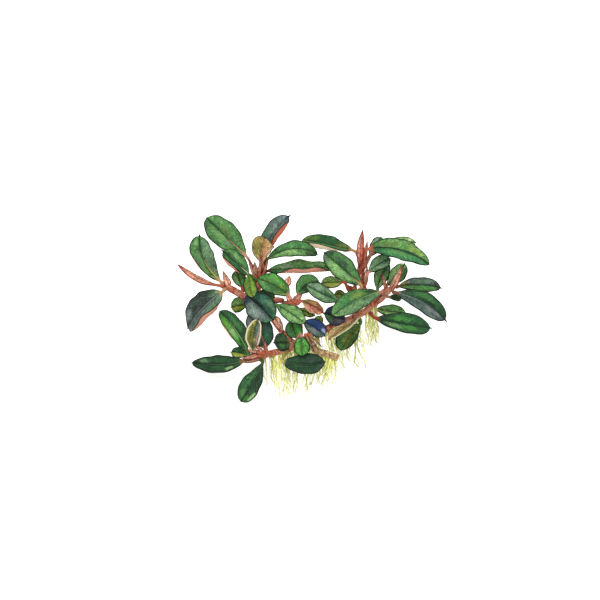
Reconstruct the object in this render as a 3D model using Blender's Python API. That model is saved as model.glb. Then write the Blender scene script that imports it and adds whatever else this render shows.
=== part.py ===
"""Bucephalandra, a small water plant, picked with its roots and standing on them.

Lengths in the tables are millimetres. A point is (across, up, back): across and up
as seen by a viewer who looks down at VIEW_TILT degrees, and back away from them.
"""
import math

import bmesh
import bpy
import numpy as np

for old in list(bpy.data.objects):
    bpy.data.objects.remove(old, do_unlink=True)

# Driving dimensions
MM = 0.001
VIEW_TILT = 30.0
CENTRE_ACROSS = -1.15
CENTRE_BACK = 46.4
LEAF_HALF_THICKNESS = 0.33
STALK_RADIUS = 0.75
GAP = 0.3
ROOT_RADIUS = 0.42
STEM_DOME = 0.7  # height of a stem's rounded end, against its radius
STALK_BOW = 0.35  # how far a stalk keeps its first and last direction, against its length
NECK_SHARE = 0.2  # share of a leaf over which its stalk spreads into the blade
CURL_START = 0.55  # where a margin starts to roll up, from midrib 0 to margin 1
CURL_EASE = 0.7
MARGIN_WAVES = 2.5
RIGHT_WAVE_SHIFT = 0.4
ROOT_TAPER = 0.8
ROOT_FORWARD = 0.3  # how far a root bows to the front, against how far it bows aside
ROOT_MIDDLE = (0.3, 0.3, 0.55)  # share of a root's run at its middle: across, back, up
HANGING_TOUCH = (0.8, 0.8, 0.85)  # the same at the last bend of a root that ends in the air
LYING_TOUCH = (0.62, 0.62, 1.0)  # the same where a root comes down to the floor
TOUCH_LIFT = 1.6
LYING_HEIGHT = 0.5  # a root whose tip is planned below this lies on the floor

# Stations along and across, which set how fine the facets are
BLADE_STATIONS = (0.1, 0.24, 0.41, 0.59, 0.76, 0.9)
SHOOT_STATIONS = (0.2, 0.45, 0.75)
ACROSS_STATIONS = (0.0, 0.62, 1.0)
STALK_STATIONS = (0.0, 0.55)
SECTION_STEPS = 24
STEM_SIDES = 8
ROOT_SIDES = 4

# Colours
FRESH_GREEN = (0.10, 0.28, 0.08)
DEEP_GREEN = (0.04, 0.15, 0.06)
BLACK_GREEN = (0.02, 0.06, 0.035)
YELLOW_GREEN = (0.20, 0.33, 0.06)
OLIVE = (0.24, 0.22, 0.08)
SLATE = (0.07, 0.11, 0.13)
DARK_BLUE = (0.02, 0.05, 0.13)
TAN_PINK = (0.45, 0.20, 0.13)
RED_STEM = (0.48, 0.10, 0.07)
BROWN_STEM = (0.42, 0.19, 0.10)


plant = bpy.data.objects.new("plant", None)
bpy.context.scene.collection.objects.link(plant)


def unit(vector):
    return vector / np.linalg.norm(vector)


def carried(vector, old, new):
    """The vector turned as the direction old turns to new, with no spin about it."""
    axis, cosine = np.cross(old, new), old.dot(new)
    return vector * cosine + np.cross(axis, vector) + axis * axis.dot(vector) / (1 + cosine)


def spot(across, up, back):
    """The point in millimetres of the upright frame, floor at height 0."""
    tilt = math.radians(VIEW_TILT)
    height = (up - back * math.sin(tilt)) / math.cos(tilt)
    return np.array([across - CENTRE_ACROSS, back - CENTRE_BACK, height])


def shift(across, up, back):
    """The same for a move from one point to another."""
    return spot(across, up, back) - spot(0.0, 0.0, 0.0)


def material(name, colour, roughness):
    made = bpy.data.materials.new(name)
    made.use_nodes = True
    shader = made.node_tree.nodes["Principled BSDF"]
    shader.inputs["Base Color"].default_value = (*colour, 1.0)
    shader.inputs["Roughness"].default_value = roughness
    made.diffuse_color = (*colour, 1.0)
    return made


def solid(name, origin, rings, start, end, colour=None, roughness=0.45):
    """One closed object through rings of points, with a point or a flat face at each end."""
    mesh = bmesh.new()
    made = [[mesh.verts.new((point - origin) * MM) for point in ring] for ring in rings]
    for one, two in zip(made, made[1:]):
        for i in range(len(one)):
            j = (i + 1) % len(one)
            mesh.faces.new((one[i], one[j], two[j], two[i]))
    for ring, point in ((made[0][::-1], start), (made[-1], end)):
        if point is None:
            mesh.faces.new(ring)
            continue
        apex = mesh.verts.new((point - origin) * MM)
        for i in range(len(ring)):
            mesh.faces.new((ring[i], ring[(i + 1) % len(ring)], apex))
    bmesh.ops.recalc_face_normals(mesh, faces=mesh.faces)
    data = bpy.data.meshes.new(name)
    mesh.to_mesh(data)
    mesh.free()
    data.polygons.foreach_set("use_smooth", [True] * len(data.polygons))
    body = bpy.data.objects.new(name, data)
    body.location = origin * MM
    body.parent = plant
    bpy.context.scene.collection.objects.link(body)
    if colour:
        data.materials.append(material(name, colour, roughness))
    return body


def fuse(body, others):
    """Joins the other solids to this one and removes them."""
    for other in others:
        joint = body.modifiers.new("join", "BOOLEAN")
        joint.operation = "UNION"
        joint.solver = "EXACT"
        joint.object = other
        graph = bpy.context.evaluated_depsgraph_get()
        joined = bpy.data.meshes.new_from_object(body.evaluated_get(graph))
        body.modifiers.clear()
        body.data = joined
        bpy.data.objects.remove(other, do_unlink=True)
    body.data.polygons.foreach_set("use_smooth", [True] * len(body.data.polygons))


# Stems
STEMS = {}


def along(points, share):
    """Point and direction at this share of the length of a line of points."""
    steps = np.linalg.norm(np.diff(points, axis=0), axis=1)
    reach = np.concatenate([[0.0], np.cumsum(steps)])
    place = share * reach[-1]
    i = min(int(np.searchsorted(reach, place, side="right")) - 1, len(steps) - 1)
    rest = (place - reach[i]) / steps[i]
    return points[i] + (points[i + 1] - points[i]) * rest, unit(points[i + 1] - points[i]), i, rest


def tube(name, points, radii, sides, colour=None, flat_end=False, flat_start=False, level=None):
    """A round rod through the points, domed at its ends unless they are flat."""
    points = np.array(points)
    ways = [unit(b - a) for a, b in zip(points, points[1:])]
    ways = [ways[0]] + [unit(a + b) for a, b in zip(ways, ways[1:])] + [ways[-1]]
    across = unit(np.cross(ways[0], (0.0, 0.37, 0.93))) if level is None else level
    rings = []
    for point, way, radius in zip(points, ways, radii):
        across = unit(across - way * across.dot(way))
        other = np.cross(way, across)
        turns = [2 * math.pi * (i + 0.5) / sides for i in range(sides)]
        rings.append(
            [point + radius * (across * math.cos(a) + other * math.sin(a)) for a in turns]
        )
    start = None if flat_start else points[0] - ways[0] * radii[0] * STEM_DOME
    end = None if flat_end else points[-1] + ways[-1] * radii[-1] * STEM_DOME
    return solid(name, points[0], rings, start, end, colour)


def stem(name, table, colour, flat_end=False):
    points = [spot(*row[:3]) for row in table]
    radii = [row[3] for row in table]
    STEMS[name] = (np.array(points), radii)
    return tube(name, points, radii, STEM_SIDES, colour, flat_end)


# Leaves
def widths(share, base_taper, tip_taper):
    """Half width of a leaf at this share of its length, 1 at the widest place."""
    widest = base_taper / (base_taper + tip_taper)
    rise = (share / widest) ** base_taper
    return rise * ((1 - share) / (1 - widest)) ** tip_taper


def cross_section(fold, curl):
    """(out, rise, lean) of the points from midrib to margin, for a half width of 1."""
    found, out, rise = [], 0.0, 0.0
    for i in range(SECTION_STEPS + 1):
        share = i / SECTION_STEPS
        rolled = max(0.0, (share - CURL_START) / (1 - CURL_START))
        lean = fold + curl * rolled**CURL_EASE
        if i:
            out += math.cos(lean) / SECTION_STEPS
            rise += math.sin(lean) / SECTION_STEPS
        found.append((share, out, rise, lean))
    picked = [min(found, key=lambda row: abs(row[0] - want)) for want in ACROSS_STATIONS]
    return [row[1:] for row in picked]


def ring_of(centre, side, normal, half, thick, fold, curls, lift):
    """Points round one section: right margin, over the top to the left, and back below."""
    halves = []
    for hand, curl in ((1, curls[1]), (-1, curls[0])):
        rows = []
        for share, (out, rise, lean) in zip(ACROSS_STATIONS, cross_section(fold, curl)):
            place = centre + side * (hand * half * out)
            place = place + normal * (half * rise + lift[0 if hand < 0 else 1] * share**2)
            up = normal * math.cos(lean) - side * (hand * math.sin(lean))
            depth = thick * math.sqrt(max(0.0, 1 - share * share))
            rows.append((place + up * depth, place - up * depth))
        halves.append(rows)
    right, left = halves
    top = [row[0] for row in right[::-1]] + [row[0] for row in left[1:]]
    below = [row[1] for row in left[-2::-1]] + [row[1] for row in right[1:-1]]
    return top + below


def leaf(name, holder, at, neck, tip, width, bend=(0, 0, 0), face=53, turn=0, twist=0, fold=8,
         curl_left=0, curl_right=0, wave=0.0, thick=LEAF_HALF_THICKNESS, base_taper=0.75,
         tip_taper=0.55, stalk=STALK_RADIUS, colour=FRESH_GREEN, inside=False):
    """A leaf that grows at this share of a stem. face is how far up its top looks, in degrees."""
    neck, tip = spot(*neck), spot(*tip)
    middle = (neck + tip) / 2 + 2 * shift(*bend)
    points, radii = STEMS[holder]
    heart, way, i, rest = along(points, at)
    radius = radii[i] + (radii[i + 1] - radii[i]) * rest
    out = neck - heart
    if 0.02 < at < 0.98:
        out = out - way * out.dot(way) / 2
    out = unit(out)
    foot = heart + out * (radius / 5 if inside else radius + GAP + stalk * 0.8)
    reach = np.linalg.norm(neck - foot)
    lead = neck - unit(middle - neck) * reach * STALK_BOW
    start = foot + out * reach * STALK_BOW

    look = math.radians(face)
    facing = np.array([0.0, -math.cos(look), math.sin(look)])
    half_width, rings = width / 2, []
    for share in (0.0,) + (SHOOT_STATIONS if inside else BLADE_STATIONS):
        centre = (1 - share) ** 2 * neck + 2 * share * (1 - share) * middle + share**2 * tip
        way = unit((1 - share) * (middle - neck) + share * (tip - middle))
        normal = unit(facing - way * facing.dot(way))
        side = np.cross(way, normal)
        angle = math.radians(turn + twist * share)
        normal, side = (
            normal * math.cos(angle) + side * math.sin(angle),
            side * math.cos(angle) - normal * math.sin(angle),
        )
        swell = widths(share, base_taper, tip_taper)
        half = max(half_width * swell, stalk * (1 - share))
        opening = min(1.0, share / NECK_SHARE)
        bulk = thick + (stalk - thick) * (1 - opening)
        curls = [math.radians(c) * opening * swell for c in (curl_left, curl_right)]
        turns = [MARGIN_WAVES * share + phase for phase in (0.0, RIGHT_WAVE_SHIFT)]
        ripple = [wave * swell * math.sin(2 * math.pi * part) for part in turns]
        lean = math.radians(fold) * opening
        rings.append(ring_of(centre, side, normal, half, bulk, lean, curls, ripple))
        if share == 0.0:
            neck_normal, neck_way = normal, way
    stalks, normal, last_way = [], neck_normal, neck_way
    for share in STALK_STATIONS[::-1]:
        back = 1 - share
        centre = back**3 * foot + 3 * back**2 * share * start
        centre = centre + 3 * back * share**2 * lead + share**3 * neck
        way = back**2 * (start - foot) + 2 * back * share * (lead - start)
        way = unit(way + share**2 * (neck - lead))
        normal, last_way = carried(normal, last_way, way), way
        side = np.cross(way, normal)
        stalks.append(ring_of(centre, side, normal, stalk, stalk, 0.0, (0.0, 0.0), (0.0, 0.0)))
    return solid(name, foot, stalks[::-1] + rings, None, tip, None if inside else colour)


# Roots
def root_strands(name, strands):
    """Thin roots that start inside a stem, bend to the floor and lie on it to their tips."""
    points, radii = STEMS[name]
    made = []
    for share, tip, sway in strands:
        start = along(points, share)[0]
        tip = spot(*tip)
        lying = tip[2] < LYING_HEIGHT
        if lying:
            tip[2] = ROOT_RADIUS * math.sqrt(0.5)
        run = tip - start
        bow = np.array([sway, -abs(sway) * ROOT_FORWARD, 0.0])
        middle = start + run * ROOT_MIDDLE + bow
        touch = start + run * (LYING_TOUCH if lying else HANGING_TOUCH) - bow / 2
        if lying:
            touch[2] *= TOUCH_LIFT
        line = [start, middle, touch, tip]
        sizes = (ROOT_RADIUS,) * 3 + (ROOT_RADIUS * (1 if lying else ROOT_TAPER),)
        level = unit(np.cross(run, (0.0, 0.0, 1.0)))
        root = tube("root", line, sizes, ROOT_SIDES, None, True, True, level)
        for vertex in root.data.vertices:
            vertex.co.z = max(vertex.co.z, -start[2] * MM)
        made.append(root)
    return made


# The stems: (across, up, back, radius) from the foot of each to its end
lower_left_rhizome = stem("lower_left_rhizome", (
    (-33, 20, 17.5, 1.4),
    (-29, 21.5, 19, 1.9),
    (-24.5, 23, 20, 1.7),
    (-17.5, 24.5, 20, 1.6),
    (-13, 26, 20, 1.5),
    (-9.5, 27.5, 20.5, 1.5),
), RED_STEM)
old_rhizome = stem("old_rhizome", (
    (-5, 30.5, 20.5, 1.1),
    (-2.5, 27, 18.5, 1.4),
    (1, 24.5, 17.5, 1.6),
    (6, 23, 17, 1.7),
    (11, 21, 16.5, 1.6),
), BROWN_STEM, flat_end=True)
middle_rhizome = stem("middle_rhizome", (
    (-7.5, 29.5, 22.5, 1.2),
    (-1.5, 33.5, 30, 1.3),
    (5, 36, 36, 1.35),
    (11, 38.5, 41, 1.4),
    (17, 40.5, 45, 1.6),
    (22.5, 43, 51, 1.7),
), RED_STEM)
right_stem = stem("right_stem", (
    (25, 44.5, 54, 1.7),
    (27.5, 47, 57.5, 1.7),
    (31.5, 51.5, 63, 1.6),
    (36, 54.5, 67, 1.5),
    (39, 56.5, 69.5, 1.4),
), RED_STEM)
left_stem = stem("left_stem", (
    (-11.5, 29.4, 23, 1.1),
    (-16.6, 33.6, 28.4, 1.4),
    (-21.5, 40.6, 35.3, 1.6),
    (-28, 46, 42, 1.6),
    (-33, 49.5, 46, 1.7),
    (-38, 53, 48, 1.7),
    (-42.5, 55.5, 49, 1.8),
    (-45, 56.5, 49.5, 1.3),
), RED_STEM)
upper_left_stem = stem("upper_left_stem", (
    (-30, 50, 48.5, 1.5),
    (-29.5, 54, 51, 1.8),
    (-29, 58.5, 54.5, 1.9),
    (-28, 62.5, 58, 1.7),
    (-27.5, 65, 60, 1.2),
), RED_STEM)
centre_stem = stem("centre_stem", (
    (-8, 34.5, 27, 1.5),
    (-8.5, 39, 31, 1.4),
    (-10, 43.5, 34.5, 1.4),
    (-11.5, 48, 38, 1.5),
    (-11.5, 50, 40, 1.2),
), RED_STEM)
middle_stem = stem("middle_stem", (
    (20.5, 45.5, 51, 1.3),
    (19.5, 48.5, 53, 1.5),
    (18, 53, 55, 1.6),
    (17.5, 56.5, 57, 1.2),
), RED_STEM)
upper_right_stem = stem("upper_right_stem", (
    (25, 51, 62, 1.6),
    (24, 55, 64.5, 1.6),
    (23, 59.5, 67, 1.7),
    (23, 64, 70, 1.7),
    (23.5, 67.5, 72, 1.3),
), RED_STEM)

# Young shoots and roots fused to the stem they grow from
fuse(lower_left_rhizome, root_strands("lower_left_rhizome", (
    (0.32, (-25, 7.5, 15), -1.5),
    (0.42, (-21.5, 9.5, 14), 1.2),
    (0.52, (-18.5, 0.5, 1), -2),
    (0.66, (-15, 1, 2), 1.5),
    (0.8, (-13, 6, 8), -1.2),
    (0.93, (-10.5, 3, 6), 1.5),
)))
fuse(old_rhizome, root_strands("old_rhizome", (
    (0.15, (-6.5, 3, 6), -1.5),
    (0.32, (-2.5, 7.5, 15), 1.5),
    (0.48, (0, 10.5, 17), -1),
    (0.62, (2.5, 7.5, 15), 1.2),
    (0.76, (5.5, 9.5, 14), -1.2),
    (0.88, (8.5, 8, 16), 1.5),
)))
fuse(middle_rhizome, [
    leaf("shoot", "middle_rhizome", 0.42, (6.4, 34.8, 33), (6.7, 38, 33), 3, thick=1.3,
         inside=True),
] + root_strands("middle_rhizome", (
    (0.3, (7.5, 14, 27), -1),
    (0.45, (11.5, 14, 28), 1.5),
    (0.58, (14.5, 15.5, 31), -1.2),
    (0.7, (17, 19, 32), 1),
    (0.82, (21.5, 16.5, 33), 1.5),
    (0.94, (25, 15, 30), -1.5),
)))
fuse(right_stem, [
    leaf("shoot", "right_stem", 0.97, (39.2, 57.4, 69), (43.2, 67.8, 71), 3.8, bend=(0.5, 0, 0),
         thick=1.1, base_taper=0.5, inside=True),
    leaf("shoot", "right_stem", 0.76, (35, 56, 67), (33, 64, 68), 2.2, thick=0.6,
         base_taper=0.35, inside=True),
] + root_strands("right_stem", (
    (0.06, (26, 27.5, 50), -1),
    (0.16, (28.5, 26.5, 53), 1),
    (0.26, (29.5, 31, 54), -1),
    (0.36, (31, 28.5, 57), 1),
)))
fuse(left_stem, [
    leaf("shoot", "left_stem", 0.97, (-43.6, 57, 50), (-46.7, 65, 52), 3.8, thick=0.8,
         base_taper=0.2, tip_taper=0.9, inside=True),
    leaf("shoot", "left_stem", 0.42, (-22, 49.5, 39), (-15.5, 50.3, 40.5), 3.2, thick=1.1,
         inside=True),
] + root_strands("left_stem", (
    (0.5, (-28.5, 22.5, 45), -1),
    (0.58, (-31.5, 24, 48), 1),
    (0.66, (-35, 25.5, 51), -1),
)))
fuse(upper_left_stem, [
    leaf("shoot", "upper_left_stem", 0.77, (-29.5, 62.5, 56), (-30.5, 69.5, 57), 3,
         bend=(-0.5, 0, 0), thick=0.7, base_taper=0.4, inside=True),
])
fuse(centre_stem, [
    leaf("shoot", "centre_stem", 0.93, (-14.6, 56.6, 47.5), (-13.2, 62.2, 53), 3.6, thick=0.9,
         inside=True),
])
fuse(upper_right_stem, [
    leaf("shoot", "upper_right_stem", 1, (24, 70, 73), (26, 80, 78), 2.6, thick=0.8,
         base_taper=0.4, inside=True),
] + root_strands("upper_right_stem", (
    (0.08, (18, 34, 68), -1),
    (0.2, (15.5, 36, 72), 1),
    (0.3, (20.5, 37.5, 75), -1),
)))

# The leaves: stem, share of its length, neck, tip and width
leaf("upper_left_leaf_big", "upper_left_stem", 0.86, (-35, 72, 61), (-55.3, 91.7, 80), 14.4,
     bend=(-0.8, 0.7, 1), colour=FRESH_GREEN)
leaf("upper_left_leaf_dark_blue", "upper_left_stem", 1, (-27, 73, 67), (-12.5, 93, 77), 11.5,
     bend=(-1.1, 1.2, 0), turn=-18, curl_right=40, colour=DARK_BLUE)
leaf("upper_left_leaf_olive", "upper_left_stem", 0.93, (-26.7, 67.5, 57), (-25, 81.8, 60), 11.3,
     bend=(-1.3, 0.3, 1), turn=180, base_taper=1.15, tip_taper=0.5, colour=OLIVE)
leaf("upper_left_leaf_right", "upper_left_stem", 1, (-24.3, 70.5, 60), (1.4, 72.5, 66), 8.8,
     bend=(0, 4.1, 0), colour=FRESH_GREEN)
leaf("upper_left_leaf_wavy", "upper_left_stem", 0.87, (-24.5, 64.5, 57), (8.5, 66, 67), 11.4,
     bend=(0, 0.7, 0), face=68, turn=-10, curl_right=40, wave=0.6, colour=DEEP_GREEN)
leaf("upper_left_leaf_pink_edge", "upper_left_stem", 0.67, (-33.5, 62.5, 54),
     (-47.5, 75.5, 59.5), 11, bend=(-0.2, 0.4, 0), turn=15, curl_left=40, colour=DEEP_GREEN)
leaf("upper_left_leaf_hanging", "upper_left_stem", 0.59, (-33.6, 62.3, 49), (-31.2, 50.8, 33.5),
     7, bend=(-0.5, 0, -2), colour=YELLOW_GREEN)
leaf("left_leaf_tall", "left_stem", 1, (-48, 59.5, 51), (-58, 83.5, 68), 12,
     bend=(-3.7, -0.2, 1), turn=12, curl_left=40, base_taper=0.75, tip_taper=0.5,
     colour=FRESH_GREEN)
leaf("left_leaf_drooping", "left_stem", 0.99, (-47, 54, 45), (-64.8, 35.3, 46), 16.5,
     bend=(-1.2, 0.7, -3), turn=12, curl_left=40, wave=0.8, base_taper=0.62, colour=SLATE)
leaf("left_leaf_rolled_red", "left_stem", 1, (-50, 57.5, 46), (-68.5, 67.5, 42), 3.6,
     bend=(-0.4, -1.7, 0), thick=1, colour=TAN_PINK)
leaf("left_leaf_yellow_green", "left_stem", 0.66, (-34.8, 47.3, 51), (-43.2, 46, 52), 8.5,
     bend=(0, 0.6, 0), colour=YELLOW_GREEN)
leaf("left_leaf_slate_front", "left_stem", 0.65, (-34.8, 53, 43), (-20.8, 39.6, 31), 15,
     bend=(-0.4, 0.6, -2), turn=18, fold=18, colour=SLATE)
leaf("lower_left_leaf_bright", "lower_left_rhizome", 0.04, (-34.6, 25.4, 22), (-48.5, 45, 37),
     10.2, bend=(0.8, 0.9, 0), curl_left=30, base_taper=0.6, colour=FRESH_GREEN)
leaf("lower_left_leaf_cupped", "lower_left_rhizome", 0.11, (-31.5, 24.5, 19), (-28.5, 41, 24),
     8.5, bend=(-1, 0, 0), fold=25, colour=OLIVE)
leaf("lower_left_leaf_teal", "lower_left_rhizome", 0.35, (-25.5, 26, 25), (-33, 45, 35), 13.4,
     bend=(1, 0, 1), base_taper=0.62, colour=SLATE)
leaf("lower_left_leaf_small", "lower_left_rhizome", 0.06, (-34, 22.2, 22.8), (-43, 24, 27), 6.5,
     bend=(0, 0.5, 0), colour=YELLOW_GREEN)
leaf("lower_left_leaf_long", "lower_left_rhizome", 0, (-36.4, 19.5, 16), (-62.6, 19, 28), 9.8,
     bend=(1, -1.5, -2), base_taper=0.62, colour=BLACK_GREEN)
leaf("lower_left_leaf_forward", "lower_left_rhizome", 0.21, (-26.6, 18.8, 13.5), (-37.7, -1, -2),
     10.6, bend=(0.3, -0.3, -1), base_taper=0.95, tip_taper=0.5, colour=DEEP_GREEN)
leaf("centre_leaf_left", "centre_stem", 0.92, (-13.4, 52, 39), (-29.7, 60.8, 49), 11,
     bend=(0.9, 1, 0), colour=FRESH_GREEN)
leaf("centre_leaf_front", "centre_stem", 0.6, (-19.5, 47.5, 32), (-5, 38, 22), 9,
     bend=(0, 0.5, -1), colour=FRESH_GREEN)
leaf("centre_leaf_pink", "centre_stem", 0.82, (-7, 49.5, 37), (4.2, 43.2, 34), 7,
     bend=(0, 0.5, 0), turn=180, wave=0.5, colour=TAN_PINK)
leaf("centre_leaf_arched", "centre_stem", 0.98, (-9, 52.5, 44), (2.3, 59, 54), 10.5,
     bend=(-1.2, 2, 0), colour=DEEP_GREEN)
leaf("centre_leaf_round_upper", "centre_stem", 0.5, (-12.6, 40, 28), (-9.6, 30.4, 20.5), 9,
     colour=DEEP_GREEN)
leaf("centre_leaf_round_left", "lower_left_rhizome", 0.87, (-12.8, 28.5, 16), (-21.5, 29, 13),
     10.3, colour=BLACK_GREEN)
leaf("centre_leaf_round_lower", "lower_left_rhizome", 0.95, (-7.3, 32, 15), (-7, 21.5, 8), 8.3,
     colour=FRESH_GREEN)
leaf("centre_leaf_very_dark", "lower_left_rhizome", 0.8, (-16.5, 19.5, 11), (5, 19.5, 7), 11.5,
     bend=(0, -1.5, -1), colour=BLACK_GREEN)
leaf("centre_leaf_dark_blue", "centre_stem", 0.25, (-6.2, 39.2, 27), (5.1, 31.8, 23), 9.4,
     bend=(0.1, 0.5, 0), fold=15, colour=DARK_BLUE)
leaf("centre_leaf_grey_green", "middle_stem", 0.45, (11, 49.5, 46), (-5.6, 57.8, 44), 9,
     bend=(0, -0.3, 0), colour=SLATE)
leaf("middle_leaf_olive", "middle_stem", 0.82, (13.3, 59, 53.5), (1.9, 58.4, 51.5), 6.9,
     colour=OLIVE)
leaf("middle_leaf_long", "middle_stem", 0.65, (22.5, 57.5, 56), (3.6, 74.3, 63), 12.3,
     colour=FRESH_GREEN)
leaf("middle_leaf_big_front", "right_stem", 0.62, (32, 54, 56), (7.6, 41.8, 31), 11.8,
     bend=(0, 1.7, 0), colour=FRESH_GREEN)
leaf("middle_leaf_violet", "middle_rhizome", 0.79, (15, 40, 40), (3.5, 43.5, 36.5), 10.5,
     colour=DARK_BLUE)
leaf("middle_leaf_edge_on", "middle_rhizome", 0.86, (21, 41, 39), (6.2, 30.3, 20), 8.4, turn=40,
     colour=OLIVE)
leaf("middle_leaf_olive_low", "middle_rhizome", 0.94, (22, 37.8, 44), (12.3, 24.4, 29), 9.8,
     bend=(-1.5, 0.2, 0), colour=OLIVE)
leaf("upper_right_leaf_left", "upper_right_stem", 1, (18.5, 75, 74), (-7.3, 80.5, 86), 11.2,
     bend=(-1, 0.5, 0), face=65, turn=8, curl_left=40, colour=DEEP_GREEN)
leaf("upper_right_leaf_big", "upper_right_stem", 0.82, (26.6, 75.7, 70), (57.6, 67.3, 75), 11.3,
     bend=(1.2, 3.5, 0), base_taper=0.55, tip_taper=0.6, colour=FRESH_GREEN)
leaf("upper_right_leaf_behind", "upper_right_stem", 1, (29, 74, 80), (51, 79.3, 95), 8,
     bend=(0, 1.1, 0), colour=DEEP_GREEN)
leaf("upper_right_spike_tall", "upper_right_stem", 0.7, (22, 65.5, 66), (23.5, 85.5, 71), 3.9,
     bend=(-0.5, 0, 0), thick=1.1, colour=RED_STEM)
leaf("upper_right_leaf_dark", "upper_right_stem", 0.45, (26.5, 64, 67), (38, 71, 73), 8,
     bend=(0, 1, 0), colour=DEEP_GREEN)
leaf("right_leaf_dark_upright", "right_stem", 0.58, (31, 55.5, 68), (37, 69.5, 75), 7.5,
     bend=(-1, 0, 0), colour=DEEP_GREEN)
leaf("right_leaf_olive_upright", "right_stem", 0.86, (35.8, 57.5, 74.5), (45, 69, 82), 8.5,
     bend=(0.8, -0.5, 0), colour=OLIVE)
leaf("right_leaf_grey_green", "right_stem", 0.99, (41.5, 56.8, 71.5), (64.2, 55.8, 77), 8.4,
     bend=(0, 1.4, 0), colour=SLATE)
leaf("right_leaf_slate", "right_stem", 0.9, (40.5, 53.7, 67.8), (66.2, 38.8, 62), 11.4,
     bend=(1.4, 1.9, -1), fold=15, colour=SLATE)
leaf("right_leaf_low_olive", "right_stem", 0.45, (30.3, 45.3, 63), (46, 43.2, 67), 7.4,
     colour=OLIVE)
leaf("right_leaf_low_big", "right_stem", 0.05, (30, 40.8, 53), (58.6, 35.8, 58), 11.3,
     bend=(1, -0.2, -1), colour=DEEP_GREEN)
leaf("left_leaf_small_dark", "left_stem", 0.82, (-37, 56.3, 52), (-40.2, 65.5, 60), 7,
     colour=BLACK_GREEN)
leaf("centre_leaf_small_yellow", "centre_stem", 0.77, (-8.5, 45.5, 40), (0, 42, 37), 5,
     colour=YELLOW_GREEN)
leaf("centre_leaf_small_dark", "centre_stem", 0.92, (-20.5, 50.5, 44), (-28.3, 55, 47), 6.5,
     colour=BLACK_GREEN)
leaf("middle_leaf_small_olive", "middle_stem", 0.56, (15, 52.5, 54.5), (8.5, 53, 54), 5.2,
     colour=OLIVE)
leaf("upper_right_leaf_far", "upper_right_stem", 0.92, (27.3, 72, 81), (33.3, 82.3, 95), 6.6,
     colour=DEEP_GREEN)
leaf("right_leaf_small", "right_stem", 0.77, (37, 51.5, 72), (43.5, 50.5, 76), 4,
     colour=DEEP_GREEN)
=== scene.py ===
import math
import zlib

import bpy
import numpy as np
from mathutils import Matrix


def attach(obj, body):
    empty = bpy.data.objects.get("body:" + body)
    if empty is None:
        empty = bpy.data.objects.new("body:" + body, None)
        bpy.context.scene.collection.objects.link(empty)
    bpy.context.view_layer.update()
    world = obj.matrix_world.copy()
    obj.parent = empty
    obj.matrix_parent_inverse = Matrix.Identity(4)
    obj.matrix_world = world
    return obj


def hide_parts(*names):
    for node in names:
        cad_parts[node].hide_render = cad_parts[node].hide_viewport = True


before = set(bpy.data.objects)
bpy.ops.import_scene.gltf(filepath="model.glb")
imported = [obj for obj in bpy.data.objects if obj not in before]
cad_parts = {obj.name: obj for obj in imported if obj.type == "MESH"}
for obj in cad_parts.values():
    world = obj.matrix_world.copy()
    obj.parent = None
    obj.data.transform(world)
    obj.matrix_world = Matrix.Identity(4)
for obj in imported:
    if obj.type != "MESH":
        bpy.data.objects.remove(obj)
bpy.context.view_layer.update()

# Lengths in the tables are millimetres. A point is (across, up, back): across and up
# as seen by a viewer who looks down at VIEW_TILT degrees, and back away from them.
MM = 0.001
VIEW_TILT = 30.0
CENTRE_ACROSS = -1.15
CENTRE_BACK = 46.4
STALK_RADIUS = 0.75
GAP = 0.3
ANY_TURN = 6.28  # a random start of a wave lies between 0 and this
FULL_TURN = 6.283  # an angle over this is the share of a turn that the paint reads
FAR_FROM_MARGIN = 9.0  # what the paint reads where a piece has no margin
STALK_BOW = 0.35  # how far a stalk keeps its first and last direction, against its length
NECK_SHARE = 0.2  # share of a leaf over which its stalk spreads into the blade
CURL_START = 0.55  # where a margin starts to roll up, from midrib 0 to margin 1
CURL_EASE = 0.7
FOLD_ROUND = 0.06  # how far before its fold a flap begins to bend
FLAP_EASE = 0.22
MARGIN_WAVES = 2.5
RIGHT_WAVE_SHIFT = 0.4

# Blades
BLADE_HALF_THICKNESS = 0.2
EDGE_ROUND = 0.4  # width over which the blade rounds off at its margin
CREASE = 0.12  # share of a half over which the two halves fold away from the midrib
GROOVE_DEPTH = 0.16
GROOVE_WIDTH = 0.42
RIB_DEPTH = 0.45
RIB_WIDTH = 0.55
HALF_DOME = 0.055  # how far each half bulges up, against its width
VEIN_SPACING = 2.3
VEIN_SLANT = 1.1
VEIN_BEND = 0.07
VEIN_RELIEF = 0.06
POINT_LENGTH = 1.1  # the small stiff point at a leaf's tip
POINT_HALF_WIDTH = 0.3
POINT_SHARE = 0.75  # share of the point that stands out beyond the blade
RIPPLE_LENGTH = 1.9
RIPPLE_HEIGHT = 0.16
FLAP_FADE = 0.3  # share of a leaf's length over which a roll ends
STATION_CROWD = 1.4  # above 1, stations stand closer towards the tip
STALK_FLARE = 0.5  # how much wider a stalk is at its foot
STALK_FLARE_LENGTH = 1.3
HALF_STEPS = 20  # steps from midrib to margin
BLADE_STEP = 0.5  # distance between stations along a blade
STALK_STEP = 0.7
SECTION_STEPS = 56

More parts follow.
